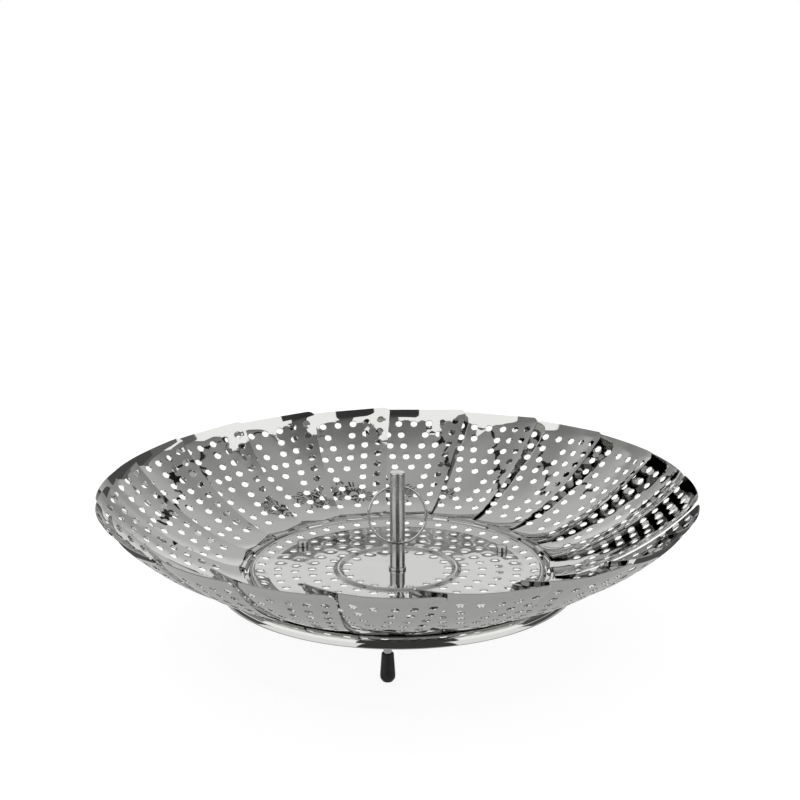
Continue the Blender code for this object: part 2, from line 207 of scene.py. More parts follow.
def buffed_pan_steel(name):
    """304 sheet buffed on a wheel: the same mirror with rings about the post."""
    made = polished_sheet(name, swell_mm=30, swell_height_mm=0.05, haze=0.10)
    tree = made.node_tree
    place = add_node(tree, "ShaderNodeTexCoord").outputs["Object"]
    scale = 1 / (pan_ring_mm * MM) / wave_rings
    rings = add_node(
        tree,
        "ShaderNodeTexWave",
        {"Vector": place, "Scale": scale, "Distortion": 1.5, "Detail": 3.0},
        wave_type="RINGS",
        rings_direction="Z",
    )
    emboss(tree, tree.nodes["Principled BSDF"], rings.outputs["Fac"], pan_ring_depth_mm, strength=0.25)
    return made


def turned_steel(name, line_mm, blur):
    """304 bar or tube polished as it spins: fine rings, line_mm apart, that smear a mirror lengthwise."""
    made, tree, shader, place = start_steel(name)
    stretched = add_node(tree, "ShaderNodeMapping", {"Vector": place, "Scale": along_the_bar})
    vary_roughness(tree, shader, stretched.outputs["Vector"], line_mm, 3.0, (evenness * blur, blur))
    shader.inputs["Anisotropic"].default_value = 1.0
    parts = add_node(tree, "ShaderNodeSeparateXYZ", {"Vector": place}).outputs
    backwards = add_node(tree, "ShaderNodeMath", {0: parts["Y"], 1: -1.0}, operation="MULTIPLY")
    round_about = add_node(tree, "ShaderNodeCombineXYZ", {"X": backwards.outputs[0], "Y": parts["X"]})
    facing = add_node(tree, "ShaderNodeNewGeometry").outputs["Normal"]
    lengthwise = add_node(
        tree, "ShaderNodeVectorMath", {0: facing, 1: round_about.outputs[0]}, operation="CROSS_PRODUCT"
    )
    along = add_node(tree, "ShaderNodeVectorMath", {0: lengthwise.outputs[0]}, operation="NORMALIZE")
    tree.links.new(along.outputs[0], shader.inputs["Tangent"])
    return made


petal_steel = polished_sheet("bright_annealed_petal_steel", swell_mm=24, swell_height_mm=0.05, haze=0.06)
pan_steel = buffed_pan_steel("buffed_pan_steel")
post_steel = turned_steel("spun_post_tube_steel", line_mm=0.3, blur=0.16)
nut_steel = turned_steel("turned_nut_steel", line_mm=0.3, blur=0.2)
wire_steel = polished_sheet("drawn_ring_wire", swell_mm=12, swell_height_mm=0.01, haze=0.05)
print("steel finishes:", petal_steel.name, pan_steel.name, post_steel.name, nut_steel.name, wire_steel.name)

# %% [markdown]
# ## Silicone for the feet
# The feet are moulded in black silicone rubber. It is soft black, not pure black, with a satin skin that
# the mould's fine spark-eroded surface leaves, and a trace of dust on top. Rubber is no metal, so its
# reflections come only from its index of refraction, about 1.41.

# %% Build the silicone
silicone_black = "#161617"
silicone_dusty = "#2A2A2B"
silicone_ior = 1.41
satin_roughness = 0.48
dust_patch_mm = 3.0
dust_span = (0.45, 0.8)
spark_grain_mm = 0.25
spark_depth_mm = 0.02


def moulded_silicone(name):
    """Black silicone rubber with a satin, spark-eroded skin and a trace of dust."""
    made, tree, shader, place = start_material(name)
    dust = add_node(
        tree, "ShaderNodeTexNoise", {"Vector": place, "Scale": 1 / (dust_patch_mm * MM), "Detail": 6.0}
    )
    ramp = add_node(tree, "ShaderNodeValToRGB", {"Fac": dust.outputs["Fac"]})
    shades = (silicone_black, silicone_dusty)
    for element, position, shade in zip(ramp.color_ramp.elements, dust_span, shades):
        element.position = position
        element.color = colour(shade)
    tree.links.new(ramp.outputs["Color"], shader.inputs["Base Color"])
    shader.inputs["Roughness"].default_value = satin_roughness
    shader.inputs["IOR"].default_value = silicone_ior
    grain = add_node(
        tree, "ShaderNodeTexNoise", {"Vector": place, "Scale": 1 / (spark_grain_mm * MM), "Detail": 2.0}
    )
    emboss(tree, shader, grain.outputs["Fac"], spark_depth_mm, strength=0.4)
    return made


foot_silicone = moulded_silicone("moulded_black_silicone")
print("silicone:", foot_silicone.name)

# %% [markdown]
# ## Lines with rounded corners
# Pressed sheet and turned bar both have the same kind of outline: straight runs joined by small radii. It
# is easiest to write such an outline as corners, each with its own radius, and to let a function put in
# the arcs. A corner here is (across, up, radius) in millimetres. The function also cuts long runs into
# short steps, because a run that gets bent or carries a reflection needs points along it.

# %% Round the corners of an outline
arc_step = math.radians(15)
nearly_straight = math.radians(89.5)
shortest_run_mm = 1e-4


def rounded(corners, longest_step_mm=1000.0):
    """Points in metres along an outline of (across mm, up mm, radius mm) corners."""
    points = [Vector(corners[0][:2])]
    for before, corner, after in zip(corners, corners[1:], corners[2:]):
        here = Vector(corner[:2])
        radius = corner[2]
        back = (Vector(before[:2]) - here).normalized()
        ahead = (Vector(after[:2]) - here).normalized()
        half = back.angle(ahead) / 2
        if radius == 0 or half > nearly_straight:
            points.append(here)
            continue
        setback = radius / math.tan(half)
        centre = here + (back + ahead).normalized() * radius / math.sin(half)
        start = here + back * setback - centre
        end = here + ahead * setback - centre
        turn = math.copysign(math.pi - 2 * half, start.cross(end))
        steps = max(2, math.ceil(abs(turn) / arc_step))
        for step in range(steps + 1):
            points.append(centre + Matrix.Rotation(turn * step / steps, 2) @ start)
    points.append(Vector(corners[-1][:2]))

    finished = [points[0]]
    for point in points[1:]:
        start = finished[-1]
        run = (point - start).length
        if run < shortest_run_mm:
            continue
        pieces = math.ceil(run / longest_step_mm)
        for piece in range(1, pieces + 1):
            finished.append(start.lerp(point, piece / pieces))
    return [point * MM for point in finished]


def lengths_along(line):
    """How far along the line each of its points lies."""
    total = [0.0]
    for start, end in zip(line, line[1:]):
        total.append(total[-1] + (end - start).length)
    return total


def line_object(name, line):
    """The line as a curve standing in the x-z plane, for the press to follow."""
    data = bpy.data.curves.new(name, "CURVE")
    data.dimensions = "3D"
    spline = data.splines.new("POLY")
    spline.points.add(len(line) - 1)
    for point, (across, up) in zip(spline.points, line):
        point.co = (across, 0, up, 1)
    made = bpy.data.objects.new(name, data)
    bpy.context.scene.collection.objects.link(made)
    made.hide_render = True
    return made


print("a 90 degree corner takes", len(rounded([(0, 0, 0), (10, 0, 3), (10, 10, 0)])) - 2, "points")

# %% [markdown]
# ## The punch
# Every hole in the pan and the petals is about 3.7 mm across. A punch leaves a clean wall, a slightly
# rounded entry, and a shallow dish round the hole where the sheet was dragged down. The punch is a small
# turned shape whose top flares by 0.15 mm, so the wall it cuts ends in a fine bright edge. Twenty sides
# are enough for a hole that is about 7 pixels wide in the picture, and there are over a thousand of them.

# %% Make the punch
hole_radius_mm = 1.85
punch_sides = 20
punch_flare_mm = 0.15
punch_depth_mm = 2.0
punch_rise_mm = 1.0
on_the_axis = 1e-7


def bare_object(name, bm, outwards=True):
    """A mesh object made from bm, with its faces turned outwards unless they are right already."""
    if outwards:
        bmesh.ops.recalc_face_normals(bm, faces=bm.faces)
    mesh = bpy.data.meshes.new(name)
    bm.to_mesh(mesh)
    bm.free()
    made = bpy.data.objects.new(name, mesh)
    bpy.context.scene.collection.objects.link(made)
    return made


def ring_of_points(bm, radius, up, angles):
    """Points round the z axis at these angles."""
    return [bm.verts.new((radius * math.cos(angle), radius * math.sin(angle), up)) for angle in angles]


def turned(name, outline, steps):
    """A turned solid: the outline, in metres, swept round z. It starts and ends on the axis or closes."""
    bm = bmesh.new()
    angles = [2 * math.pi * step / steps for step in range(steps)]
    rings = []
    for radius, up in outline:
        if radius < on_the_axis:
            rings.append([bm.verts.new((0, 0, up))])
        else:
            rings.append(ring_of_points(bm, radius, up, angles))
    pairs = list(zip(rings, rings[1:]))
    if len(rings[0]) > 1:
        pairs.append((rings[-1], rings[0]))
    for low, high in pairs:
        for step in range(steps):
            after = (step + 1) % steps
            corners = [low[step % len(low)], low[after % len(low)]]
            corners += [high[after % len(high)], high[step % len(high)]]
            unique = list(dict.fromkeys(corners))
            if len(unique) > 2:
                bm.faces.new(unique)
    return bare_object(name, bm)


def punch_object():
    """The punch, with the sheet's top face at its z = 0."""
    wall = hole_radius_mm
    flare = hole_radius_mm + punch_flare_mm
    outline = [
        (0, -punch_depth_mm), (wall, -punch_depth_mm), (wall, -punch_flare_mm), (flare, 0),
        (flare, punch_rise_mm), (0, punch_rise_mm),
    ]
    made = turned("punch", [(across * MM, up * MM) for across, up in outline], punch_sides)
    made.hide_render = True
    return made


punch = punch_object()
print("punch faces:", len(punch.data.polygons))

# %% [markdown]
# ## Punch and press, as one geometry node tree
# The blank comes in flat. First the tree stands a punch on every mark and takes all of them out of the
# sheet at once. Then it bends the sheet: how far a point lies along the blank picks a place on the profile
# line, and its height over the blank is laid off square to that line. Bending after punching keeps the
# holes round in the sheet and square to it, as a real press does. The tree's inputs are its tools and the
# sizes that a die would set.

# %% Give the press its inputs
press_tools = ("Punch", "Marks", "Profile")
press_sizes = (
    "Profile start", "Dish depth", "Dish edge", "Dish reach", "Tilt", "Curl radius", "Hollow radius",
    "Foot", "Full lift", "Lift at foot",
)


def start_press(name):
    """A node tree with the press's sockets, and the outputs of its input node."""
    tree = bpy.data.node_groups.new(name, "GeometryNodeTree")
    sockets = [("Geometry", "NodeSocketGeometry")]
    sockets += [(label, "NodeSocketObject") for label in press_tools]
    sockets += [(label, "NodeSocketFloat") for label in press_sizes]
    sockets += [("Finish", "NodeSocketMaterial")]
    for label, kind in sockets:
        tree.interface.new_socket(label, in_out="INPUT", socket_type=kind)
    tree.interface.new_socket("Geometry", in_out="OUTPUT", socket_type="NodeSocketGeometry")
    return tree, add_node(tree, "NodeGroupInput").outputs


print("press inputs:", ", ".join(press_tools + press_sizes))

# %% [markdown]
# ## Punching and dishing
# All the punches are subtracted in one cut, which is far quicker than a thousand cuts. The dish round a
# hole needs no mesh of its own: the distance to the nearest mark says how far a point was dragged down.

# %% Punch the holes and dish them


def punch_out(tree, given, marks):
    """The sheet with a hole at every mark."""
    punch_in = add_node(tree, "GeometryNodeObjectInfo", {"Object": given["Punch"]}).outputs["Geometry"]
    punches = add_node(tree, "GeometryNodeInstanceOnPoints", {"Points": marks, "Instance": punch_in})
    standing = add_node(tree, "GeometryNodeRealizeInstances", {"Geometry": punches.outputs["Instances"]})
    punched = add_node(
        tree,
        "GeometryNodeMeshBoolean",
        {"Mesh 1": given["Geometry"], "Mesh 2": standing.outputs["Geometry"]},
        operation="DIFFERENCE",
        solver="MANIFOLD",
    )
    return punched.outputs["Mesh"]


def dished(tree, given, marks, up):
    """The height over the blank, less the dish that the punch dragged round every hole."""
    nearest = add_node(tree, "GeometryNodeProximity", {"Geometry": marks}, target_element="POINTS")
    from_edge = add_node(
        tree, "ShaderNodeMath", {0: nearest.outputs["Distance"], 1: given["Dish edge"]}, operation="SUBTRACT"
    )
    dish = add_node(
        tree,
        "ShaderNodeMapRange",
        {"Value": from_edge.outputs[0], "From Min": 0.0, "From Max": given["Dish reach"],
         "To Min": 1.0, "To Max": 0.0},
        interpolation_type="SMOOTHSTEP",
    )
    drop = add_node(
        tree, "ShaderNodeMath", {0: dish.outputs["Result"], 1: given["Dish depth"]}, operation="MULTIPLY"
    )
    return add_node(tree, "ShaderNodeMath", {0: up, 1: drop.outputs[0]}, operation="SUBTRACT").outputs[0]


print("punching and dishing are ready")

# %% [markdown]
# ## The petal's twist
# A petal isn't bent along its profile alone. It lies a little tipped to one side, so that it can rest on
# its neighbour, its clockwise side is curled up and the other side has a gentle hollow. Each is a simple
# term of the place across the sheet: a slope for the tip, and a square over a radius for a curl. All of
# them grow from the foot, where the hook keeps the sheet level.

# %% Tip and curl the petal


def twisted(tree, given, across, along, height):
    """The height over the blank once the petal is tipped and both its sides are curled."""
    eased = add_node(
        tree,
        "ShaderNodeMapRange",
        {"Value": along, "From Min": 0.0, "From Max": given["Foot"]},
        interpolation_type="SMOOTHSTEP",
    )
    growing = add_node(
        tree,
        "ShaderNodeMapRange",
        {"Value": along, "From Min": 0.0, "From Max": given["Full lift"], "To Min": given["Lift at foot"]},
    )
    share = add_node(
        tree,
        "ShaderNodeMath",
        {0: eased.outputs["Result"], 1: growing.outputs["Result"]},
        operation="MULTIPLY",
    )
    lift = add_node(tree, "ShaderNodeMath", {0: across, 1: given["Tilt"]}, operation="MULTIPLY")
    for side, radius in (("MAXIMUM", "Curl radius"), ("MINIMUM", "Hollow radius")):
        reach = add_node(tree, "ShaderNodeMath", {0: across, 1: 0.0}, operation=side).outputs[0]
        square = add_node(tree, "ShaderNodeMath", {0: reach, 1: reach}, operation="MULTIPLY")
        curled = add_node(
            tree, "ShaderNodeMath", {0: square.outputs[0], 1: given[radius]}, operation="DIVIDE"
        )
        lift = add_node(
            tree,
            "ShaderNodeMath",
            {0: curled.outputs[0], 1: 0.5, 2: lift.outputs[0]},
            operation="MULTIPLY_ADD",
        )
    raised = add_node(
        tree,
        "ShaderNodeMath",
        {0: lift.outputs[0], 1: share.outputs[0], 2: height},
        operation="MULTIPLY_ADD",
    )
    return raised.outputs[0]


print("the petal's twist is ready")

# %% [markdown]
# ## Bending along the profile
# Sample Curve finds the place on the profile line at a given distance, and the line's direction there.
# That direction turned by a right angle is the way in which the sheet's thickness stands. The pan is
# round, so its distance is measured from the middle and the result turned back round the post. A petal
# is straight, so its distance is simply y.

# %% Build the press tree


def bent_along(tree, given, line, along, height):
    """Across and up of a point this far along the profile line and this high over it."""
    distance = add_node(tree, "ShaderNodeMath", {0: along, 1: given["Profile start"]}, operation="SUBTRACT")
    sample = add_node(
        tree,
        "GeometryNodeSampleCurve",
        {"Curves": line, "Length": distance.outputs[0]},
        mode="LENGTH",
        use_all_curves=True,
    )
    tangent = add_node(tree, "ShaderNodeSeparateXYZ", {"Vector": sample.outputs["Tangent"]}).outputs
    backwards = add_node(tree, "ShaderNodeMath", {0: tangent["Z"], 1: -1.0}, operation="MULTIPLY")
    square_to = add_node(tree, "ShaderNodeCombineXYZ", {"X": backwards.outputs[0], "Z": tangent["X"]})
    raised = add_node(
        tree, "ShaderNodeVectorMath", {0: square_to.outputs[0], "Scale": height}, operation="SCALE"
    )
    bent = add_node(
        tree, "ShaderNodeVectorMath", {0: sample.outputs["Position"], 1: raised.outputs[0]}, operation="ADD"
    )
    return add_node(tree, "ShaderNodeSeparateXYZ", {"Vector": bent.outputs[0]}).outputs


def press_tree(name, is_round):
    """A tree that punches a flat blank and bends it along a profile line."""
    tree, given = start_press(name)
    marks = add_node(tree, "GeometryNodeObjectInfo", {"Object": given["Marks"]}).outputs["Geometry"]
    line = add_node(tree, "GeometryNodeObjectInfo", {"Object": given["Profile"]}).outputs["Geometry"]
    place = add_node(tree, "GeometryNodeInputPosition").outputs["Position"]
    parts = add_node(tree, "ShaderNodeSeparateXYZ", {"Vector": place}).outputs
    height = dished(tree, given, marks, parts["Z"])
    if is_round:
        flat = add_node(tree, "ShaderNodeCombineXYZ", {"X": parts["X"], "Y": parts["Y"]}).outputs[0]
        along = add_node(tree, "ShaderNodeVectorMath", {0: flat}, operation="LENGTH").outputs["Value"]
        bent = bent_along(tree, given, line, along, height)
        outward = add_node(tree, "ShaderNodeVectorMath", {0: flat}, operation="NORMALIZE").outputs[0]
        swung = add_node(tree, "ShaderNodeVectorMath", {0: outward, "Scale": bent["X"]}, operation="SCALE")
        upward = add_node(tree, "ShaderNodeCombineXYZ", {"Z": bent["Z"]})
        final = add_node(
            tree, "ShaderNodeVectorMath", {0: swung.outputs[0], 1: upward.outputs[0]}, operation="ADD"
        )
    else:
        height = twisted(tree, given, parts["X"], parts["Y"], height)
        bent = bent_along(tree, given, line, parts["Y"], height)
        sideways = add_node(tree, "ShaderNodeMath", {0: parts["X"], 1: -1.0}, operation="MULTIPLY")
        final = add_node(
            tree, "ShaderNodeCombineXYZ", {"X": bent["X"], "Y": sideways.outputs[0], "Z": bent["Z"]}
        )
    sheet = punch_out(tree, given, marks)
    pressed = add_node(tree, "GeometryNodeSetPosition", {"Geometry": sheet, "Position": final.outputs[0]})
    smooth = add_node(tree, "GeometryNodeSetShadeSmooth", {"Geometry": pressed.outputs["Geometry"]})
    real = add_node(tree, "GeometryNodeRealizeInstances", {"Geometry": smooth.outputs["Geometry"]})
    finished = add_node(
        tree, "GeometryNodeSetMaterial", {"Geometry": real.outputs["Geometry"], "Material": given["Finish"]}
    )
    add_node(tree, "NodeGroupOutput", {"Geometry": finished.outputs["Geometry"]})
    return tree


def press(blank, tree, values, name):
    """Runs the press on a blank and returns the result as a plain mesh. The blank is removed."""
    press_modifier = blank.modifiers.new("press", "NODES")
    press_modifier.node_group = tree
    for item in tree.interface.items_tree:
        if item.in_out == "INPUT" and item.name in values:
            press_modifier[item.identifier] = values[item.name]
    graph = bpy.context.evaluated_depsgraph_get()
    mesh = bpy.data.meshes.new_from_object(blank.evaluated_get(graph), depsgraph=graph)
    mesh.name = name
    bpy.data.objects.remove(blank)
    return mesh


round_press = press_tree("press_the_pan", is_round=True)
petal_press = press_tree("press_a_petal", is_round=False)
print("press nodes:", len(round_press.nodes), "and", len(petal_press.nodes))

# %% [markdown]
# ## The petal's profile
# Seen from the side, a petal hooks round the pan's ridge, leaves it almost level, and steepens steadily
# until a last narrow lip turns up more sharply and stiffens the rim. A formula gives its slope at every
# millimetre, and short steps at that slope add up to the line that the press follows.

# %% Draw the petal's profile
petal_length_mm = 79.7
petal_foot_slope = math.radians(15.0)
petal_body_slope = math.radians(45.4)
petal_foot_droop = math.radians(14.0)
petal_droop_mm = 10.0
petal_lip_turn = math.radians(12.0)
petal_lip_mm = 6.2
petal_lip_bend_mm = 2.6
hook_radius_mm = 2.25
hook_wrap = math.radians(95)
hook_steps = 16
profile_step_mm = 0.5

hook_length_mm = hook_radius_mm * hook_wrap


def petal_slope(along):
    """The slope of the petal's middle line, in radians, this many mm from the hinge."""
    body = petal_length_mm - petal_lip_mm
    slope = petal_foot_slope + (petal_body_slope - petal_foot_slope) * min(along, body) / body
    slope -= petal_foot_droop * math.exp(-along / petal_droop_mm)
    into_bend = min(max((along - body) / petal_lip_bend_mm, 0.0), 1.0)
    return slope + petal_lip_turn * into_bend**2 * (3 - 2 * into_bend)


def petal_profile():
    """Points from the end of the hook over the ridge and out to the rim, about the hinge."""
    crown = petal_slope(0.0) + math.radians(90)
    line = []
    for step in range(hook_steps + 1):
        angle = crown + hook_wrap * (1 - step / hook_steps)
        line.append(Vector((math.cos(angle), math.sin(angle))) * hook_radius_mm)
    steps = round(petal_length_mm / profile_step_mm)
    step_mm = petal_length_mm / steps
    for step in range(steps):
        slope = petal_slope((step + 0.5) * step_mm)
        line.append(line[-1] + Vector((math.cos(slope), math.sin(slope))) * step_mm)
    return [point * MM for point in line]


petal_line = line_object("petal_line", petal_profile())
print("petal line:", len(petal_line.data.splines[0].points), "points")

# %% [markdown]
# ## The petal's blank
# The blank is a fan with rounded top corners and a small tab at the foot that becomes the hook. Its rim is
# bowed a little, so that the open basket's edge runs round. It is a grid of about 1.4 mm, because a mirror
# shows every facet of a coarser one, and two of the grid's columns fall on the sides of the tab.

# %% Cut the petal's blank
petal_sheet_mm = 0.5
petal_foot_half_mm = 13.0
petal_top_half_mm = 29.8
petal_corner_mm = 5.0
petal_corner_steps = 8
petal_foot_edge_mm = 1.2
petal_taper_start_mm = 3.0
petal_rim_arch_mm = 1.3
hook_half_width_mm = 4.0
hook_offset_mm = 5.0
grid_mm = 1.4
tab_step_mm = 0.4


def petal_half_width_mm(along):
    """Half the blank's width this many mm from the hinge: a straight taper with rounded corners."""
    growth = petal_top_half_mm - petal_foot_half_mm
    run = petal_length_mm - petal_taper_start_mm
    width = petal_foot_half_mm + growth * (along - petal_taper_start_mm) / run
    into_corner = max(0.0, along - (petal_length_mm - petal_corner_mm))
    return width - petal_corner_mm + math.sqrt(max(0.0, petal_corner_mm**2 - into_corner**2))


def bowed(across, along):
    """How far up the blank a point lies once its row is bowed like the rim."""
    return along - petal_rim_arch_mm * along / petal_length_mm * (across / petal_half_width_mm(along))**2


def even_steps(start, end, step):
    """Values from start to end, about a step apart."""
    count = max(1, round(abs(end - start) / step))
    return [start + (end - start) * number / count for number in range(count + 1)]


def petal_columns():
    """Places across the blank, as shares of its half width, and the two that bound the hook."""
    share_step = grid_mm / petal_top_half_mm
    tab_edges = [(-hook_offset_mm + side * hook_half_width_mm) / petal_foot_half_mm for side in (-1, 1)]
    columns = even_steps(-1.0, tab_edges[0], share_step)
    first_hook = len(columns) - 1
    columns += even_steps(*tab_edges, share_step)[1:]
    last_hook = len(columns) - 1
    columns += even_steps(tab_edges[1], 1.0, share_step)[1:]
    return columns, first_hook, last_hook


def sheet_object(name, bm, thickness_mm, offset):
    """A flat blank with its thickness: offset 0 puts half of it above z = 0, and -1 all of it below."""
    made = bare_object(name, bm, outwards=False)
    wall = made.modifiers.new("sheet", "SOLIDIFY")
    wall.thickness = thickness_mm * MM
    wall.offset = offset
    return made


def petal_blank():
    """The flat blank, with half its sheet above z = 0 and the hinge's line at y = 0."""
    columns, first_hook, last_hook = petal_columns()
    corner_start = petal_length_mm - petal_corner_mm
    rows = even_steps(petal_foot_edge_mm, corner_start, grid_mm)
    for step in range(1, petal_corner_steps + 1):
        rows.append(corner_start + petal_corner_mm * math.sin(math.pi / 2 * step / petal_corner_steps))

    bm = bmesh.new()
    grid = []
    for along in rows:
        half = petal_half_width_mm(along)
        grid.append([
            bm.verts.new((share * half * MM, bowed(share * half, along) * MM, 0)) for share in columns
        ])
    foot = grid[0][first_hook:last_hook + 1]
    tabs = [foot]
    for along in even_steps(petal_foot_edge_mm, -hook_length_mm, tab_step_mm)[1:]:
        tabs.append([bm.verts.new((point.co.x, along * MM, 0)) for point in foot])
    for rows_of_points in (grid, tabs[::-1]):
        for low, high in zip(rows_of_points, rows_of_points[1:]):
            for left in range(len(low) - 1):
                bm.faces.new((low[left], low[left + 1], high[left + 1], high[left]))
    return sheet_object("petal_blank", bm, petal_sheet_mm, offset=0.0)


flat_petal = petal_blank()
print("petal blank:", len(flat_petal.data.polygons), "faces")

# %% [markdown]
# ## Where the punches stand on a petal
# Each petal has 45 holes in nine rows. Two outer columns follow its slanting sides all the way down. The
# columns inside them stop earlier, because the petal narrows towards its foot, and three single holes fill
# the middle. Written as a rule, that is a column number, how many rows the column has, and a slant. Marks
# are only points, so each set is a mesh with vertices and no faces.

# %% Mark the petal's holes
petal_rows = 9
row_pitch_mm = 7.3
lowest_row_mm = 12.6
column_step_mm = 7.45
outer_column = 3
outer_column_mm = 9.6
side_slant = 0.235
column_rows = {3: range(1, 10), 2: range(1, 9), 1: range(1, 5), 0: (1, 5, 9)}


def petal_marks():
    """Points on the top face of the flat petal, (across, along, up) in metres. Row 1 is at the rim."""
    marks = []
    for column in range(-outer_column, outer_column + 1):
        for row in column_rows[abs(column)]:
            up = (petal_rows - row) * row_pitch_mm
            across = 0.0
            if column:
                across = outer_column_mm + up * side_slant - (outer_column - abs(column)) * column_step_mm
            side = math.copysign(across, column)
            row_mm = bowed(across, lowest_row_mm + up)
            marks.append((side * MM, row_mm * MM, petal_sheet_mm / 2 * MM))
    return marks


def marks_object(name, marks):
    """Marks as a mesh of single points, for the press to punch at."""
    bm = bmesh.new()
    for mark in marks:
        bm.verts.new(mark)
    made = bare_object(name, bm, outwards=False)
    made.hide_render = True
    return made


petal_punch_marks = marks_object("petal_punch_marks", petal_marks())
print("holes in a petal:", len(petal_punch_marks.data.vertices))

# %% [markdown]
# ## Press one petal and hang twenty
# All twenty petals are the same pressing, so the press runs once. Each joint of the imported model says
# where a petal hangs: its place is on the pan's ridge, and its direction from the post turns the petal to
# face outwards. The turn and the place go into each copy's mesh, so every object stays at the origin. The
# reflections still differ from petal to petal, because the finish reads the place of each point.

# %% Press and place the petals
dish_reach_mm = 1.6
petal_dish_mm = 0.04
petal_tilt = 0.045
petal_curl_radius_mm = 66.0
petal_hollow_radius_mm = 105.0
petal_full_lift_mm = 20.0
petal_foot_lift_share = 0.7
sharp_edge = math.radians(32)

petal_mesh = press(
    flat_petal,
    petal_press,
    {
        "Punch": punch,
        "Marks": petal_punch_marks,
        "Profile": petal_line,
        "Profile start": -hook_length_mm * MM,
        "Dish depth": petal_dish_mm * MM,
        "Dish edge": (hole_radius_mm + punch_flare_mm) * MM,
        "Dish reach": dish_reach_mm * MM,
        "Tilt": petal_tilt,
        "Curl radius": petal_curl_radius_mm * MM,
        "Hollow radius": petal_hollow_radius_mm * MM,
        "Foot": petal_foot_edge_mm * MM,
        "Full lift": petal_full_lift_mm * MM,
        "Lift at foot": petal_foot_lift_share,
        "Finish": petal_steel,
    },
    "pressed_petal",
)
petal_mesh.set_sharp_from_angle(angle=sharp_edge)


def show(name, mesh, body, slot, *nodes):
    """Makes a finished mesh a piece of the basket, on its body, in place of these nodes."""
    mesh.name = name
    made = bpy.data.objects.new(name, mesh)
    bpy.context.scene.collection.objects.link(made)
    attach(made, body)
    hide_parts(*nodes)
    return made


petal_joints = [joint for joint in frame["joints"] if joint["child"].startswith("petal")]
for joint in petal_joints:
    hinge = Vector(joint["pos_m"])
    azimuth = math.atan2(hinge.y, hinge.x)
    copy = petal_mesh.copy()
    copy.transform(Matrix.Translation(hinge) @ Matrix.Rotation(azimuth, 4, "Z"))
    show(f"punched_{joint['child']}", copy, joint["child"], "steel", joint["child"])
print("petals:", len(petal_joints), "with", len(petal_mesh.polygons), "faces each")

# %% [markdown]
# ## The pan's profile
# The pan is one deep-drawn disc of 0.6 mm sheet. From the post outwards it has a flat centre, a raised
# ring bead that keeps the post's foot from dishing it, a flat floor, a shallow cone and a small lip. Past
# the lip runs a gutter with twenty slots for the hooks, then the ridge they hang on, a ledge, and a
# rounded band that turns in under the rim.

# %% Draw the pan's profile
pan_floor_mm = 32.0
pan_sheet_mm = 0.6
pan_step_mm = 1.3
stud_hole_mm = 2.2
slot_inner_mm = 71.03
slot_outer_mm = 72.9
pan_corners = [
    (stud_hole_mm, 0, 0), (26.2, 0, 1.0), (28.4, 1.6, 1.2), (30.6, 0, 1.0),
    (61.4, 0, 4.0), (68.2, 1.45, 1.0), (69.2, 2.1, 0.8), (70.3, 1.45, 0.5),
    (slot_inner_mm, -0.2, 0.3), (slot_outer_mm, -0.2, 0.0), (slot_outer_mm, 0.9, 1.0),
    (75.1, 0.9, 0.6), (75.1, 0.45, 0.1), (85.85, 1.2, 3.4), (86.35, -4.3, 0.5), (84.9, -4.3, 0),
]


def pan_profile():
    """Points of the pan's top face from the stud hole out to the band's lower edge."""
    line = rounded(pan_corners, longest_step_mm=pan_step_mm)
    return [Vector((across, up + pan_floor_mm * MM)) for across, up in line]


def length_at_radius(line, radius_mm):
    """How far along the pan's profile the line first reaches a radius."""
    radius = radius_mm * MM
    lengths = lengths_along(line)
    for start, end, length in zip(line, line[1:], lengths):
        if start.x <= radius <= end.x and end.x > start.x:
            return length + (radius - start.x) / (end.x - start.x) * (end - start).length
    return lengths[-1]


pan_profile_points = pan_profile()
pan_line = line_object("pan_line", pan_profile_points)
print("pan line:", len(pan_profile_points), "points")

# %% [markdown]
# ## The pan's blank
# The blank is a disc cut into rings and spokes. The rings lie where the profile's points will come, so
# every bend falls on an edge of the mesh. The spokes line up with the slots' ends, and the slots are
# simply left out of the grid.

# %% Cut the pan's blank
ridge_circle_mm = 74.0
slot_width_mm = 10.4
slot_slack_mm = 0.15
slot_count = 20
slot_spokes = 5
land_spokes = 6
first_petal = math.radians(14.2)
slot_half_angle = math.asin(slot_width_mm / 2 / ridge_circle_mm)
slot_first = first_petal + math.asin(hook_offset_mm / ridge_circle_mm)


def spoke_angles():
    """Angles of the blank's spokes: first those of a slot, then those of the land after it."""
    pitch = 2 * math.pi / slot_count
    slot_step = 2 * slot_half_angle / slot_spokes
    land_step = (pitch - 2 * slot_half_angle) / land_spokes
    angles = []
    for slot in range(slot_count):
        start = slot_first + slot * pitch - slot_half_angle
        angles += [start + slot_step * step for step in range(slot_spokes)]
        angles += [start + 2 * slot_half_angle + land_step * step for step in range(land_spokes)]
    return angles


def pan_blank(line):
    """The flat blank, with its top face at z = 0 and the slots left open."""
    angles = spoke_angles()
    distances = [stud_hole_mm * MM + length for length in lengths_along(line)]
    slot_start = stud_hole_mm * MM + length_at_radius(line, slot_inner_mm + slot_slack_mm)
    slot_end = (stud_hole_mm + slot_slack_mm) * MM + length_at_radius(line, slot_outer_mm)
    bm = bmesh.new()
    rings = [ring_of_points(bm, distance, 0, angles) for distance in distances]
    for inner, outer, start, end in zip(rings, rings[1:], distances, distances[1:]):
        in_gutter = start >= slot_start and end <= slot_end
        for spoke in range(len(angles)):
            if in_gutter and spoke % (slot_spokes + land_spokes) < slot_spokes:
                continue
            after = (spoke + 1) % len(angles)
            bm.faces.new((inner[spoke], outer[spoke], outer[after], inner[after]))
    return sheet_object("pan_blank", bm, pan_sheet_mm, offset=-1.0)


flat_pan = pan_blank(pan_profile_points)
print("pan blank:", len(flat_pan.data.polygons), "faces")

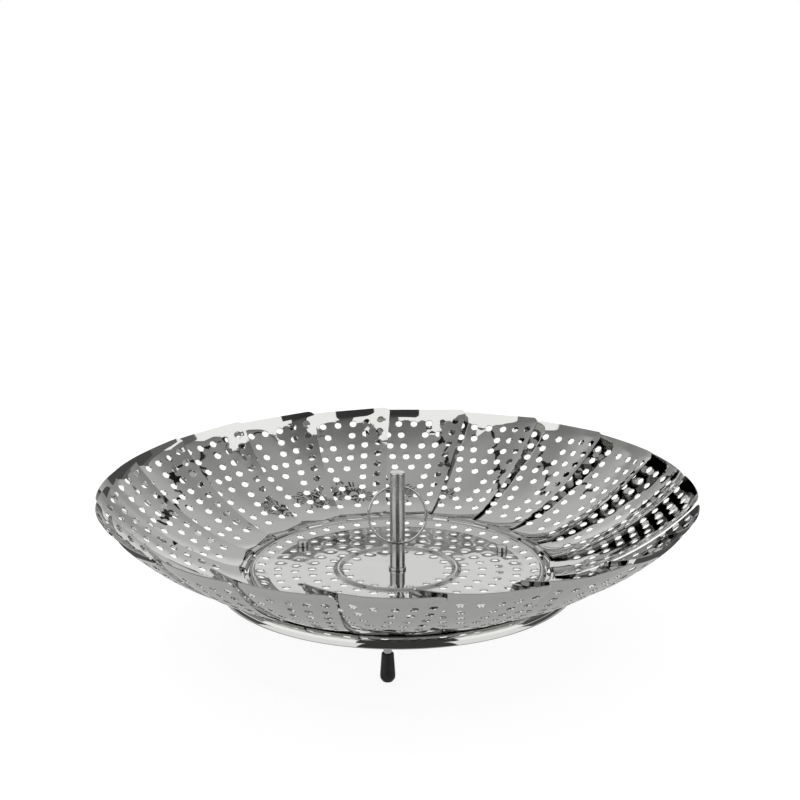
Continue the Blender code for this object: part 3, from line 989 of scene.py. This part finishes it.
# %% [markdown]
# ## Punch and press the pan
# The pan's 195 holes stand on six rings 8.18 mm apart, with six more holes on each ring than on the one
# inside it. The fifth ring gives up three places to the legs. Each ring is turned by its own share of a
# step, read off the photograph. The holes are marked in the flat, so a ring's distance is measured along
# the profile and not straight across.

# %% Mark, punch and press the pan
first_ring_mm = 24.6
ring_pitch_mm = 8.18
first_ring_holes = 18
holes_added = 6
ring_turns = (0.2, 0.7, 0.0, 0.45, 0.0, 0.5)
leg_ring = 4
leg_places = (3, 17, 31)
pan_dish_mm = 0.05


def pan_marks():
    """Points on the top face of the flat pan, (across, along, up) in metres."""
    marks = []
    for ring, turn in enumerate(ring_turns):
        count = first_ring_holes + holes_added * ring
        distance = stud_hole_mm * MM
        distance += length_at_radius(pan_profile_points, first_ring_mm + ring * ring_pitch_mm)
        for hole in range(count):
            if ring == leg_ring and hole in leg_places:
                continue
            angle = 2 * math.pi * (hole + turn) / count
            marks.append((distance * math.cos(angle), distance * math.sin(angle), 0.0))
    return marks


pan_punch_marks = marks_object("pan_punch_marks", pan_marks())
pan_mesh = press(
    flat_pan,
    round_press,
    {
        "Punch": punch,
        "Marks": pan_punch_marks,
        "Profile": pan_line,
        "Profile start": stud_hole_mm * MM,
        "Dish depth": pan_dish_mm * MM,
        "Dish edge": (hole_radius_mm + punch_flare_mm) * MM,
        "Dish reach": dish_reach_mm * MM,
        "Finish": pan_steel,
    },
    "pressed_pan",
)
pan_mesh.set_sharp_from_angle(angle=sharp_edge)
show("punched_pan", pan_mesh, "base", "steel", "pan")
print("pan holes:", len(pan_punch_marks.data.vertices), "pan faces:", len(pan_mesh.polygons))

# %% [markdown]
# ## The post
# The post is a tube on a turned foot, with a plug driven into its top. A flange on the foot shows as a
# collar on the pan, and a stud goes down through the pan to a washer and a nut. Turned bar never has a
# perfectly sharp corner: the tool or a touch of emery cloth takes off a few tenths of a millimetre, and
# that thin rounding is what catches the light along the cap. Heights are measured from the table.

# %% Turn the post's pieces
round_sides = 72
post_radius_mm = 3.6
post_top_mm = 80.5
stud_radius_mm = 1.9
stud_end_mm = 26.1
flange_radius_mm = 4.2
flange_under_mm = 32.1
flange_top_mm = 33.4
plug_radius_mm = 2.6
foot_plug_end_mm = 41.4
cap_plug_end_mm = 75.7
cap_seat_mm = 79.1
washer_radius_mm = 4.6
washer_under_mm = 30.3
washer_top_mm = 31.1


def solid(name, corners, sides=round_sides):
    """A turned solid from corners of (radius, height, rounding) in mm."""
    return turned(name, rounded(corners), sides)


def finished(mesh, finish):
    """The same mesh with its finish, shaded smooth up to its sharp edges."""
    mesh.materials.clear()
    mesh.materials.append(finish)
    mesh.shade_smooth()
    mesh.set_sharp_from_angle(angle=sharp_edge)
    return mesh


def lathe(name, corners, finish, place=(0, 0, 0)):
    """A turned and finished mesh, standing at a place in metres."""
    made = solid(name, corners)
    mesh = made.data
    bpy.data.objects.remove(made)
    mesh.transform(Matrix.Translation(place))
    return finished(mesh, finish)


post_foot = lathe(
    "turned_post_foot",
    [(0, stud_end_mm, 0), (stud_radius_mm, stud_end_mm, 0.3), (stud_radius_mm, flange_under_mm, 0),
     (flange_radius_mm, flange_under_mm, 0.1), (flange_radius_mm, flange_top_mm, 0.35),
     (plug_radius_mm, flange_top_mm, 0), (plug_radius_mm, foot_plug_end_mm, 0.2),
     (0, foot_plug_end_mm, 0)],
    post_steel,
)
post_cap = lathe(
    "turned_post_cap",
    [(0, cap_plug_end_mm, 0), (plug_radius_mm, cap_plug_end_mm, 0.2), (plug_radius_mm, cap_seat_mm, 0),
     (post_radius_mm, cap_seat_mm, 0.05), (post_radius_mm, post_top_mm, 0.45), (0, post_top_mm, 0)],
    post_steel,
)
post_washer = lathe(
    "stamped_post_washer",
    [(stud_hole_mm, washer_under_mm, 0), (washer_radius_mm, washer_under_mm, 0.1),
     (washer_radius_mm, washer_top_mm, 0.2), (stud_hole_mm, washer_top_mm, 0)],
    nut_steel,
)
show("turned_post_foot", post_foot, "base", "steel", "post_foot")
show("turned_post_cap", post_cap, "base", "steel", "post_cap")
show("stamped_post_washer", post_washer, "base", "steel", "post_washer")
print("post pieces:", len(post_foot.polygons), len(post_cap.polygons), len(post_washer.polygons))

# %% [markdown]
# ## Cuts that turning cannot make
# Two pieces need a second operation. The tube is drilled right through for the ring, and the nut is a
# hexagon whose corners were chamfered on the lathe first. A Boolean modifier does each cut the way the
# machine would: one solid taken from another, or only their common part kept. A closed outline starts and
# ends on a straight run, here inside the bore, because its first and last points stay sharp.

# %% Drill the tube
bore_mm = 2.8
bore_start_mm = 40
bore_end_mm = 41
seam_mm = 0.12
drill_radius_mm = 1.25
drill_reach_mm = 8
drill_sides = 32


def machined(name, blank, tool, operation, finish, node):
    """Cuts the blank with the tool and shows the result, on the base, in place of a node."""
    cut = blank.modifiers.new("cut", "BOOLEAN")
    cut.operation = operation
    cut.solver = "EXACT"
    cut.object = tool
    graph = bpy.context.evaluated_depsgraph_get()
    mesh = bpy.data.meshes.new_from_object(blank.evaluated_get(graph), depsgraph=graph)
    bpy.data.objects.remove(blank)
    bpy.data.objects.remove(tool)
    return show(name, finished(mesh, finish), "base", "steel", node)


tube_blank = solid(
    "tube_blank",
    [(bore_mm, bore_start_mm, 0), (bore_mm, flange_top_mm + seam_mm, 0),
     (post_radius_mm, flange_top_mm + seam_mm, 0.15), (post_radius_mm, cap_seat_mm - seam_mm, 0.12),
     (bore_mm, cap_seat_mm - seam_mm, 0), (bore_mm, bore_end_mm, 0)],
)
drill = solid(
    "drill",
    [(0, -drill_reach_mm, 0), (drill_radius_mm, -drill_reach_mm, 0), (drill_radius_mm, drill_reach_mm, 0),
     (0, drill_reach_mm, 0)],
    sides=drill_sides,
)
pivot = Vector(next(joint for joint in frame["joints"] if joint["child"] == "ring_handle")["pos_m"])
drill.data.transform(Matrix.Translation(pivot) @ Matrix.Rotation(math.radians(90), 4, "Y"))
machined("drilled_post_tube", tube_blank, drill, "DIFFERENCE", post_steel, "post_tube")
print("ring pivot at z =", round(pivot.z / MM, 2), "mm")

# %% [markdown]
# ## The nut under the pan
# The nut is 7 mm across its flats and 3.2 mm high. Its blank is turned first, with a hole for the stud and
# a chamfer at both ends, and only what lies inside a hexagon is kept. A hexagon's corners lie farther out
# than its flats, by one over the cosine of 30 degrees.

# %% Cut the nut
nut_gap_mm = 0.3
nut_height_mm = 3.2
nut_half_flat_mm = 3.5
nut_face_mm = 3.4
nut_widest_mm = 4.3
nut_chamfer_mm = 0.5

nut_top_mm = washer_under_mm - nut_gap_mm
nut_bottom_mm = nut_top_mm - nut_height_mm
nut_corner_mm = nut_half_flat_mm / math.cos(math.radians(30))
nut_blank = solid(
    "nut_blank",
    [(stud_hole_mm, nut_bottom_mm + 1, 0), (stud_hole_mm, nut_bottom_mm, 0),
     (nut_face_mm, nut_bottom_mm, 0), (nut_widest_mm, nut_bottom_mm + nut_chamfer_mm, 0),
     (nut_widest_mm, nut_top_mm - nut_chamfer_mm, 0), (nut_face_mm, nut_top_mm, 0),
     (stud_hole_mm, nut_top_mm, 0), (stud_hole_mm, nut_top_mm - 1, 0)],
)
hexagon = solid(
    "hexagon",
    [(0, nut_bottom_mm - 1, 0), (nut_corner_mm, nut_bottom_mm - 1, 0),
     (nut_corner_mm, nut_top_mm + 1, 0), (0, nut_top_mm + 1, 0)],
    sides=6,
)
machined("chamfered_post_nut", nut_blank, hexagon, "INTERSECT", nut_steel, "post_nut")
print("the nut stands from", round(nut_bottom_mm, 2), "to", round(nut_top_mm, 2), "mm")

# %% [markdown]
# ## Legs and feet
# Each leg is a plain turned rod with a shoulder under the pan and a stud that comes up through it, held by
# a small round nut. A silicone foot is pushed on from below. It is a little fatter at the bottom, round
# where it meets the table, and moulding leaves its upper rim soft, so it gets a 0.4 mm rounding there.

# %% Turn the legs and mould the feet
rod_radius_mm = 1.9
rod_end_mm = 3.7
shoulder_radius_mm = 3.2
shoulder_under_mm = 29.9
shoulder_top_mm = 31.1
leg_stud_radius_mm = 1.4
leg_stud_end_mm = 33.7
leg_nut_corners = [
    (0, 34.0, 0), (1.7, 34.0, 0), (1.7, 32.1, 0), (2.75, 32.1, 0.1), (2.75, 34.7, 0.6), (0, 34.7, 0),
]
foot_corners = [
    (0, 0, 0), (2.2, 0, 0.5), (3.35, 1.6, 1.6), (3.45, 3.2, 3.0), (2.75, 13.6, 0.4),
    (2.15, 13.6, 0.15), (2.15, 3.4, 0), (0, 3.4, 0),
]
leg_rod_corners = [
    (0, rod_end_mm, 0), (rod_radius_mm, rod_end_mm, 0.3), (rod_radius_mm, shoulder_under_mm, 0.2),
    (shoulder_radius_mm, shoulder_under_mm, 0.2), (shoulder_radius_mm, shoulder_top_mm, 0.15),
    (leg_stud_radius_mm, shoulder_top_mm, 0), (leg_stud_radius_mm, leg_stud_end_mm, 0.2),
    (0, leg_stud_end_mm, 0),
]
for side in ("right", "left", "front"):
    lowest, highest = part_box(f"{side}_foot")
    place = Vector(((lowest.x + highest.x) / 2, (lowest.y + highest.y) / 2, 0))
    rod = lathe(f"turned_{side}_leg_rod", leg_rod_corners, post_steel, place)
    nut = lathe(f"turned_{side}_leg_nut", leg_nut_corners, nut_steel, place)
    foot = lathe(f"moulded_{side}_foot", foot_corners, foot_silicone, place)
    show(f"turned_{side}_leg_rod", rod, "base", "steel", f"{side}_leg_rod")
    show(f"turned_{side}_leg_nut", nut, "base", "steel", f"{side}_leg_nut")
    show(f"moulded_{side}_foot", foot, "base", "silicone", f"{side}_foot")
    print(side, "leg at", round(place.x / MM, 1), round(place.y / MM, 1), "mm")

# %% [markdown]
# ## The ring handle
# The handle is a ring of drawn wire, 1.4 mm thick, sprung through the cross hole and closed. It leans on
# the front of the post. A ring is a circle swept round a circle, so two angles give every point. It is
# drawn upright, hanging from the origin, then tipped and lifted to the joint. The joint lies where the
# wire goes through the tube's wall, 3.2 mm to either side, so the ring's middle is a little less than its
# radius below it.

# %% Sweep the ring handle
wire_radius_mm = 0.7
ring_radius_mm = 13.65
ring_crossing_mm = 3.2
ring_gap_mm = 0.3
wire_turns = 120
wire_sides = 14

ring_drop_mm = math.sqrt(ring_radius_mm**2 - ring_crossing_mm**2)
ring_lean = math.asin((post_radius_mm + wire_radius_mm + ring_gap_mm) / (ring_drop_mm + ring_radius_mm))


def wire_loop(bm, round_angle):
    """Points round the wire at one place of the ring, with the pivot at the origin."""
    loop = []
    for side in range(wire_sides):
        angle = 2 * math.pi * side / wire_sides
        reach = ring_radius_mm + wire_radius_mm * math.cos(angle)
        point = Vector((
            reach * math.sin(round_angle),
            wire_radius_mm * math.sin(angle),
            reach * math.cos(round_angle) - ring_drop_mm,
        ))
        loop.append(bm.verts.new(point * MM))
    return loop


def wire_ring(name):
    """The ring's mesh, hanging from the pivot and leaning on the post."""
    bm = bmesh.new()
    loops = [wire_loop(bm, 2 * math.pi * turn / wire_turns) for turn in range(wire_turns)]
    for near, far in zip(loops, loops[1:] + loops[:1]):
        for side in range(wire_sides):
            after = (side + 1) % wire_sides
            bm.faces.new((near[side], near[after], far[after], far[side]))
    made = bare_object(name, bm)
    mesh = made.data
    bpy.data.objects.remove(made)
    mesh.transform(Matrix.Rotation(-ring_lean, 4, "X"))
    mesh.transform(Matrix.Translation(pivot))
    mesh.materials.append(wire_steel)
    mesh.shade_smooth()
    return mesh


show("drawn_wire_ring", wire_ring("drawn_wire_ring"), "ring_handle", "steel", "ring_handle")
print("the ring leans", round(math.degrees(ring_lean), 2), "degrees")

# %% [markdown]
# ## The table
# A matt white table keeps a soft shadow under the basket and gives the mirrors a clean floor to reflect.
# It glows a little, so that away from the shadow it is as white as the backdrop and no edge shows between
# them.

# %% Lay the table
table_grey = "#7A7A7A"
table_grain_mm = 2.0
table_roughness = (0.85, 1.0)
table_glow_seen = 0.88
# Less glow to the mirrors is painted shade: it darkens the table they show, standing in for the basket's
# shadow beneath it.
table_glow_mirrored = 0.42
table_half_size = 20.0


def matt_table(name):
    """A matt grey that glows up to white: more to the camera than to the mirrors, where the dimmer glow is
    painted shade.
    """
    made, tree, shader, place = start_material(name)
    shader.inputs["Base Color"].default_value = colour(table_grey)
    shader.inputs["Specular IOR Level"].default_value = 0.0
    vary_roughness(tree, shader, place, table_grain_mm, 2.0, table_roughness, span=(0.0, 1.0))
    path = add_node(tree, "ShaderNodeLightPath").outputs
    glow = add_node(
        tree,
        "ShaderNodeMath",
        {0: path["Is Camera Ray"], 1: table_glow_seen - table_glow_mirrored, 2: table_glow_mirrored},
        operation="MULTIPLY_ADD",
    )
    shader.inputs["Emission Color"].default_value = colour("#FFFFFF")
    tree.links.new(glow.outputs[0], shader.inputs["Emission Strength"])
    return made


def table_object(half_size):
    """A square table top at z = 0, half_size metres to each side."""
    bm = bmesh.new()
    corners = ((-1, -1), (1, -1), (1, 1), (-1, 1))
    bm.faces.new([bm.verts.new((across * half_size, along * half_size, 0)) for across, along in corners])
    made = bare_object("white_table", bm)
    made.data.materials.append(matt_table("matt_white_table"))
    return made


table = table_object(table_half_size)
print("table:", table.data.materials[0].name)

# %% [markdown]
# ## The backdrop
# The backdrop is the world itself, in white. Its strength depends on which ray asks: the camera and the
# mirrors see it at full strength, and as light on the basket and the table it is weaker, so that the lamp
# still casts a shadow.

# %% Light the backdrop
backdrop_light = 0.75
backdrop_mirror = 1.0


def white_backdrop():
    """A white world that is weaker as light than to the camera and the mirrors."""
    world = bpy.data.worlds.new("white_backdrop")
    world.use_nodes = True
    tree = world.node_tree
    background = tree.nodes["Background"]
    background.inputs["Color"].default_value = colour("#FFFFFF")
    path = add_node(tree, "ShaderNodeLightPath").outputs
    seen = add_node(
        tree,
        "ShaderNodeMath",
        {0: path["Is Camera Ray"], 1: path["Is Transmission Ray"]},
        operation="MAXIMUM",
    )
    mirrored = add_node(
        tree,
        "ShaderNodeMath",
        {0: path["Is Glossy Ray"], 1: backdrop_mirror - backdrop_light, 2: backdrop_light},
        operation="MULTIPLY_ADD",
    )
    strength = add_node(
        tree, "ShaderNodeMath", {0: seen.outputs[0], 1: mirrored.outputs[0]}, operation="MAXIMUM"
    )
    tree.links.new(strength.outputs[0], background.inputs["Strength"])
    bpy.context.scene.world = world


white_backdrop()
print("backdrop:", bpy.context.scene.world.name)

# %% [markdown]
# ## What the mirrors see
# A polished piece shows its surroundings, so the grey of the photograph is the studio's. It was shot in a
# tent of grey scrim, brighter behind the basket and dark round the camera, with a bright softbox on each
# side of the camera. The tent is a sphere of cloth whose shade follows the direction from the basket:
# three colour ramps run from the camera's side to the back, one low, one high and one overhead, and the
# height mixes them. Only mirror rays meet it; the camera, the shadows and the table's own light never do.

# %% Weave the tent's cloth
studio_height = 0.05
tent_ramps = {
    "low": ((-1.0, "#464646"), (-0.3, "#7A7A7A"), (0.3, "#909090"), (0.6, "#9C9C9C"), (0.87, "#ACACAC"),
            (0.94, "#C8C8C8"), (0.985, "#FFFFFF")),
    "high": ((-0.7, "#3C3C3C"), (-0.4, "#505050"), (0.0, "#909090"), (0.24, "#9A9A9A"), (0.45, "#B4B4B4"),
             (0.6, "#CECECE"), (0.72, "#DCDCDC")),
    "overhead": ((-0.6, "#585858"), (-0.26, "#7C7C7C"), (-0.09, "#969696"), (0.0, "#ACACAC"),
                 (0.09, "#C0C0C0"), (0.26, "#CACACA"), (0.6, "#D0D0D0"), (1.0, "#DCDCDC")),
}
low_to_high = (0.36, 0.5)
high_to_overhead = (0.75, 1.0)


def cloth(name):
    """A cloth lit from behind: a material of pure glow, with its tree and glow node."""
    made = bpy.data.materials.new(name)
    made.use_nodes = True
    tree = made.node_tree
    tree.nodes.clear()
    glow = add_node(tree, "ShaderNodeEmission")
    add_node(tree, "ShaderNodeOutputMaterial", {"Surface": glow.outputs["Emission"]})
    return made, tree, glow


def plain_cloth(name, shade, strength=1.0):
    """A cloth of one even shade."""
    made, tree, glow = cloth(name)
    glow.inputs["Color"].default_value = colour(shade)
    glow.inputs["Strength"].default_value = strength
    return made


def shade_ramp(tree, backward, stops):
    """The shade at a place between the camera's side, -1, and the back, 1."""
    share = add_node(tree, "ShaderNodeMapRange", {"Value": backward, "From Min": -1.0})
    ramp = add_node(tree, "ShaderNodeValToRGB", {"Fac": share.outputs["Result"]})
    elements = ramp.color_ramp.elements
    while len(elements) < len(stops):
        elements.new(0.5)
    for element, (position, shade) in zip(elements, stops):
        element.position = (position + 1) / 2
        element.color = colour(shade)
    return ramp.outputs["Color"]


def tent_cloth(name):
    """Grey scrim whose shade runs with the direction from the basket."""
    made, tree, glow = cloth(name)
    place = add_node(tree, "ShaderNodeTexCoord").outputs["Object"]
    centred = add_node(
        tree, "ShaderNodeVectorMath", {0: place, 1: (0, 0, studio_height)}, operation="SUBTRACT"
    )
    direction = add_node(tree, "ShaderNodeVectorMath", {0: centred.outputs[0]}, operation="NORMALIZE")
    parts = add_node(tree, "ShaderNodeSeparateXYZ", {"Vector": direction.outputs[0]}).outputs
    flat = add_node(tree, "ShaderNodeCombineXYZ", {"X": parts["X"], "Y": parts["Y"]})
    level = add_node(tree, "ShaderNodeVectorMath", {0: flat.outputs[0]}, operation="NORMALIZE")
    level_parts = add_node(tree, "ShaderNodeSeparateXYZ", {"Vector": level.outputs[0]}).outputs
    shade = shade_ramp(tree, level_parts["Y"], tent_ramps["low"])
    for layer, (start, end) in (("high", low_to_high), ("overhead", high_to_overhead)):
        rise = add_node(
            tree,
            "ShaderNodeMapRange",
            {"Value": parts["Z"], "From Min": start, "From Max": end},
            interpolation_type="SMOOTHSTEP",
        )
        higher = shade_ramp(tree, parts["Y"], tent_ramps[layer])
        # On a Mix node for colours, sockets 6 and 7 are the two colours and output 2 is the result.
        mixed = add_node(
            tree,
            "ShaderNodeMix",
            {"Factor": rise.outputs["Result"], 6: shade, 7: higher},
            data_type="RGBA",
        )
        shade = mixed.outputs[2]
    tree.links.new(shade, glow.inputs["Color"])
    return made


grey_scrim = tent_cloth("grey_tent_scrim")
print("tent cloth:", grey_scrim.name, "with", len(grey_scrim.node_tree.nodes), "nodes")

# %% [markdown]
# ## Cards on a sphere
# Every card is placed by two angles: degrees across from the camera's side, with the right positive, and
# degrees up. That is how a card's reflection is aimed: a mirror facing halfway between the camera and the
# card shows it. The cards stand inside the tent, at slightly different distances so that none of them lie
# in one another.

# %% Put up the tent
tent_radius = 3.2
studio_radius = 3.0
corner_box_radius = 2.95
stand_radius = 2.8
card_step = 5


def mirror_only(card, finish):
    card.data.materials.append(finish)
    card.visible_camera = False
    card.visible_diffuse = False
    card.visible_transmission = False
    card.visible_shadow = False
    return card


def sphere_point(across, up, radius=studio_radius):
    """A point of the studio sphere: degrees across from the camera's side (right is +), degrees up."""
    azimuth = math.radians(across - 90)
    level = math.radians(up)
    flat = radius * math.cos(level)
    return (flat * math.cos(azimuth), flat * math.sin(azimuth), studio_height + radius * math.sin(level))


def card_object(name, rows, finish):
    """A sheet of faces through rows of points."""
    bm = bmesh.new()
    grid = [[bm.verts.new(point) for point in row] for row in rows]
    for low, high in zip(grid, grid[1:]):
        for left in range(len(low) - 1):
            bm.faces.new((low[left], low[left + 1], high[left + 1], high[left]))
    return mirror_only(bare_object(name, bm, outwards=False), finish)


def studio_card(name, across, up, finish, radius=studio_radius):
    """A patch of the studio sphere, given in degrees across and up."""
    rows = [
        [sphere_point(side, high, radius) for side in even_steps(*across, card_step)]
        for high in even_steps(*up, card_step)
    ]
    return card_object(name, rows, finish)


tent = studio_card("scrim_tent", (-180, 180), (-3, 89.9), grey_scrim, radius=tent_radius)
print("tent faces:", len(tent.data.polygons))

# %% [markdown]
# ## Softboxes, flags and stands
# Two softboxes beside the camera give the white sides of every reflection, and black flags beside them the
# sharp dark edges. The thin crooked black lines on the petals are the boom arms that carry the lights,
# bent by the swell of the sheet, and the little stars near the petals' feet are the ribs of an umbrella
# behind and above the basket. Each is a card or a thin strip just inside the tent, or a sheet on the
# table, where the outer wall of the pan looks. The sheets on the table are painted light and painted
# shadow: white ones below the softboxes stand for the light those throw there, and dark ones below the
# flags for the flags' shadows.

# %% Cut the cloths and the stands
softbox_white = plain_cloth("softbox_front", "#FFFFFF", 1.42)
# The flag felt and the right flag cloth also lie on the table below the flags as painted shadow.
dark_flag_and_table_shadow = plain_cloth("flag_felt_and_painted_table_shadow", "#464646")
flag_grey = plain_cloth("flag_cloth", "#A0A0A0")
grey_flag_and_table_shadow = plain_cloth("right_flag_cloth_and_painted_table_shadow", "#5A5A5A")
flag_mid_grey = plain_cloth("right_flag_net", "#787878")
rib_black = plain_cloth("painted_stand", "#1E1E1E")
# Painted light: a glowing white sheet on the table, seen only by mirrors, for the softboxes' light falling
# there.
table_light_paint = plain_cloth("painted_light_table_sheet", "#FFFFFF", 1.2)
boom_steps = 8
rib_half_width = 0.35
card_lift_mm = 0.5


def boom_arm(name, stops, width):
    """A dark strip through (across, up) stops on the studio sphere, width in degrees."""
    rows = [[], []]
    for start, end in zip(stops, stops[1:]):
        for step in range(boom_steps):
            share = step / boom_steps
            across = start[0] + (end[0] - start[0]) * share
            up = start[1] + (end[1] - start[1]) * share
            rows[0].append(sphere_point(across, up - width / 2, stand_radius))
            rows[1].append(sphere_point(across, up + width / 2, stand_radius))
    return card_object(name, rows, rib_black)


def umbrella_ribs(name, across, up, inner, outer, count):
    """Short dark dashes round one direction, like an umbrella's ribs: radii in degrees."""
    middle = Vector(sphere_point(across, up, stand_radius))
    toward = (middle - Vector((0, 0, studio_height))).normalized()
    sideways = toward.cross(Vector((0, 0, 1))).normalized()
    upward = sideways.cross(toward)
    aside = stand_radius * math.tan(math.radians(rib_half_width))
    bm = bmesh.new()
    for rib in range(count):
        angle = 2 * math.pi * rib / count
        outwards = sideways * math.cos(angle) + upward * math.sin(angle)
        beside = sideways * -math.sin(angle) + upward * math.cos(angle)
        corners = []
        for degrees, side in ((inner, -1), (outer, -1), (outer, 1), (inner, 1)):
            reach = stand_radius * math.tan(math.radians(degrees))
            corners.append(bm.verts.new(middle + outwards * reach + beside * side * aside))
        bm.faces.new(corners)
    return mirror_only(bare_object(name, bm, outwards=False), rib_black)


def painted_table_sector(name, across, reach, finish):
    """A sector on the table, seen only by mirrors, that paints light or shadow there: degrees across, metres
    near and far.
    """
    rows = []
    for radius in reach:
        turns = [math.radians(side - 90) for side in even_steps(*across, card_step)]
        rows.append([(radius * math.cos(turn), radius * math.sin(turn), card_lift_mm * MM) for turn in turns])
    return card_object(name, rows, finish)


print("stands are", rib_black.name, "and softboxes", softbox_white.name)

# %% [markdown]
# ## Placing the cards
# Each line below is one card with its angles. The sheets on the table start 155 mm from the post, just
# outside the open petals. They are painted light where the band shows white in the photograph, and
# painted shadow where a flag stood.

# %% Set up the softboxes, flags and stands
near = 0.155
strip_end = 0.35
far = 3.0

cards = [
    studio_card("left_softbox", (-87, -24), (-1, 70), softbox_white),
    studio_card("left_softbox_corner", (-50, -3), (61, 74), softbox_white, radius=corner_box_radius),
    studio_card("right_softbox", (36, 80), (-1, 70), softbox_white),
    studio_card("right_softbox_corner", (25, 36), (50, 66), softbox_white),
    studio_card("right_softbox_edge", (80, 98), (36, 49), softbox_white),
    studio_card("front_flag", (-24, 36), (-1, 46), dark_flag_and_table_shadow),
    studio_card("right_flag", (80, 136), (-1, 29), grey_flag_and_table_shadow),
    studio_card("right_flag_top", (80, 136), (29, 36), flag_mid_grey),
    studio_card("right_flag_end", (136, 147), (-1, 17), grey_flag_and_table_shadow),
    studio_card("left_flag", (-124, -87), (-1, 22), flag_grey),
    # Sheets on the table, seen only by mirrors: dark ones are painted shadow under the flags, white ones
    # painted light under the softboxes.
    painted_table_sector("front_table_cloth", (-18, 27), (near, far), dark_flag_and_table_shadow),
    painted_table_sector("right_table_cloth", (67, 127), (near, strip_end), grey_flag_and_table_shadow),
    painted_table_sector("right_table_end", (67, 80), (strip_end, far), table_light_paint),
    painted_table_sector("left_table_sheet", (-70, -18), (near, far), table_light_paint),
    painted_table_sector("left_table_strip", (-140, -70), (near, strip_end), grey_flag_and_table_shadow),
    painted_table_sector("left_table_end", (-140, -70), (strip_end, far), table_light_paint),
    painted_table_sector("right_table_sheet", (27, 67), (near, far), table_light_paint),
    boom_arm("left_boom", ((-72, 72), (-92, 64), (-127, 55), (-143, 44), (-157, 33)), 1.7),
    boom_arm("right_boom", ((78, 76), (90, 61), (106, 56), (127, 48), (139, 45), (152, 35), (158, 29)), 1.6),
    umbrella_ribs("umbrella_ribs", 177, 62, 5.0, 8.5, 26),
    umbrella_ribs("umbrella_hub", 177, 62, 1.5, 4.0, 16),
]
print("studio cards:", ", ".join(card.name for card in cards))

# %% [markdown]
# ## The key light
# One broad lamp hangs above and a little behind the basket. It is a metre wide, so shadows on the table
# are soft. Its level is set with the backdrop's so that a surface renders about as bright as its colour is
# written.

# %% Hang the key light
lamp_size = 1.0
lamp_power = 10.0
lamp_place = (-0.2, 0.15, 1.3)

lamp = bpy.data.objects.new("soft_key", bpy.data.lights.new("soft_key", "AREA"))
lamp.data.shape = "DISK"
lamp.data.size = lamp_size
lamp.data.energy = lamp_power
lamp.location = lamp_place
lamp.rotation_euler = Vector(lamp_place).to_track_quat("Z", "Y").to_euler()
lamp.visible_glossy = False
bpy.context.scene.collection.objects.link(lamp)
print("lamp at", lamp_place)
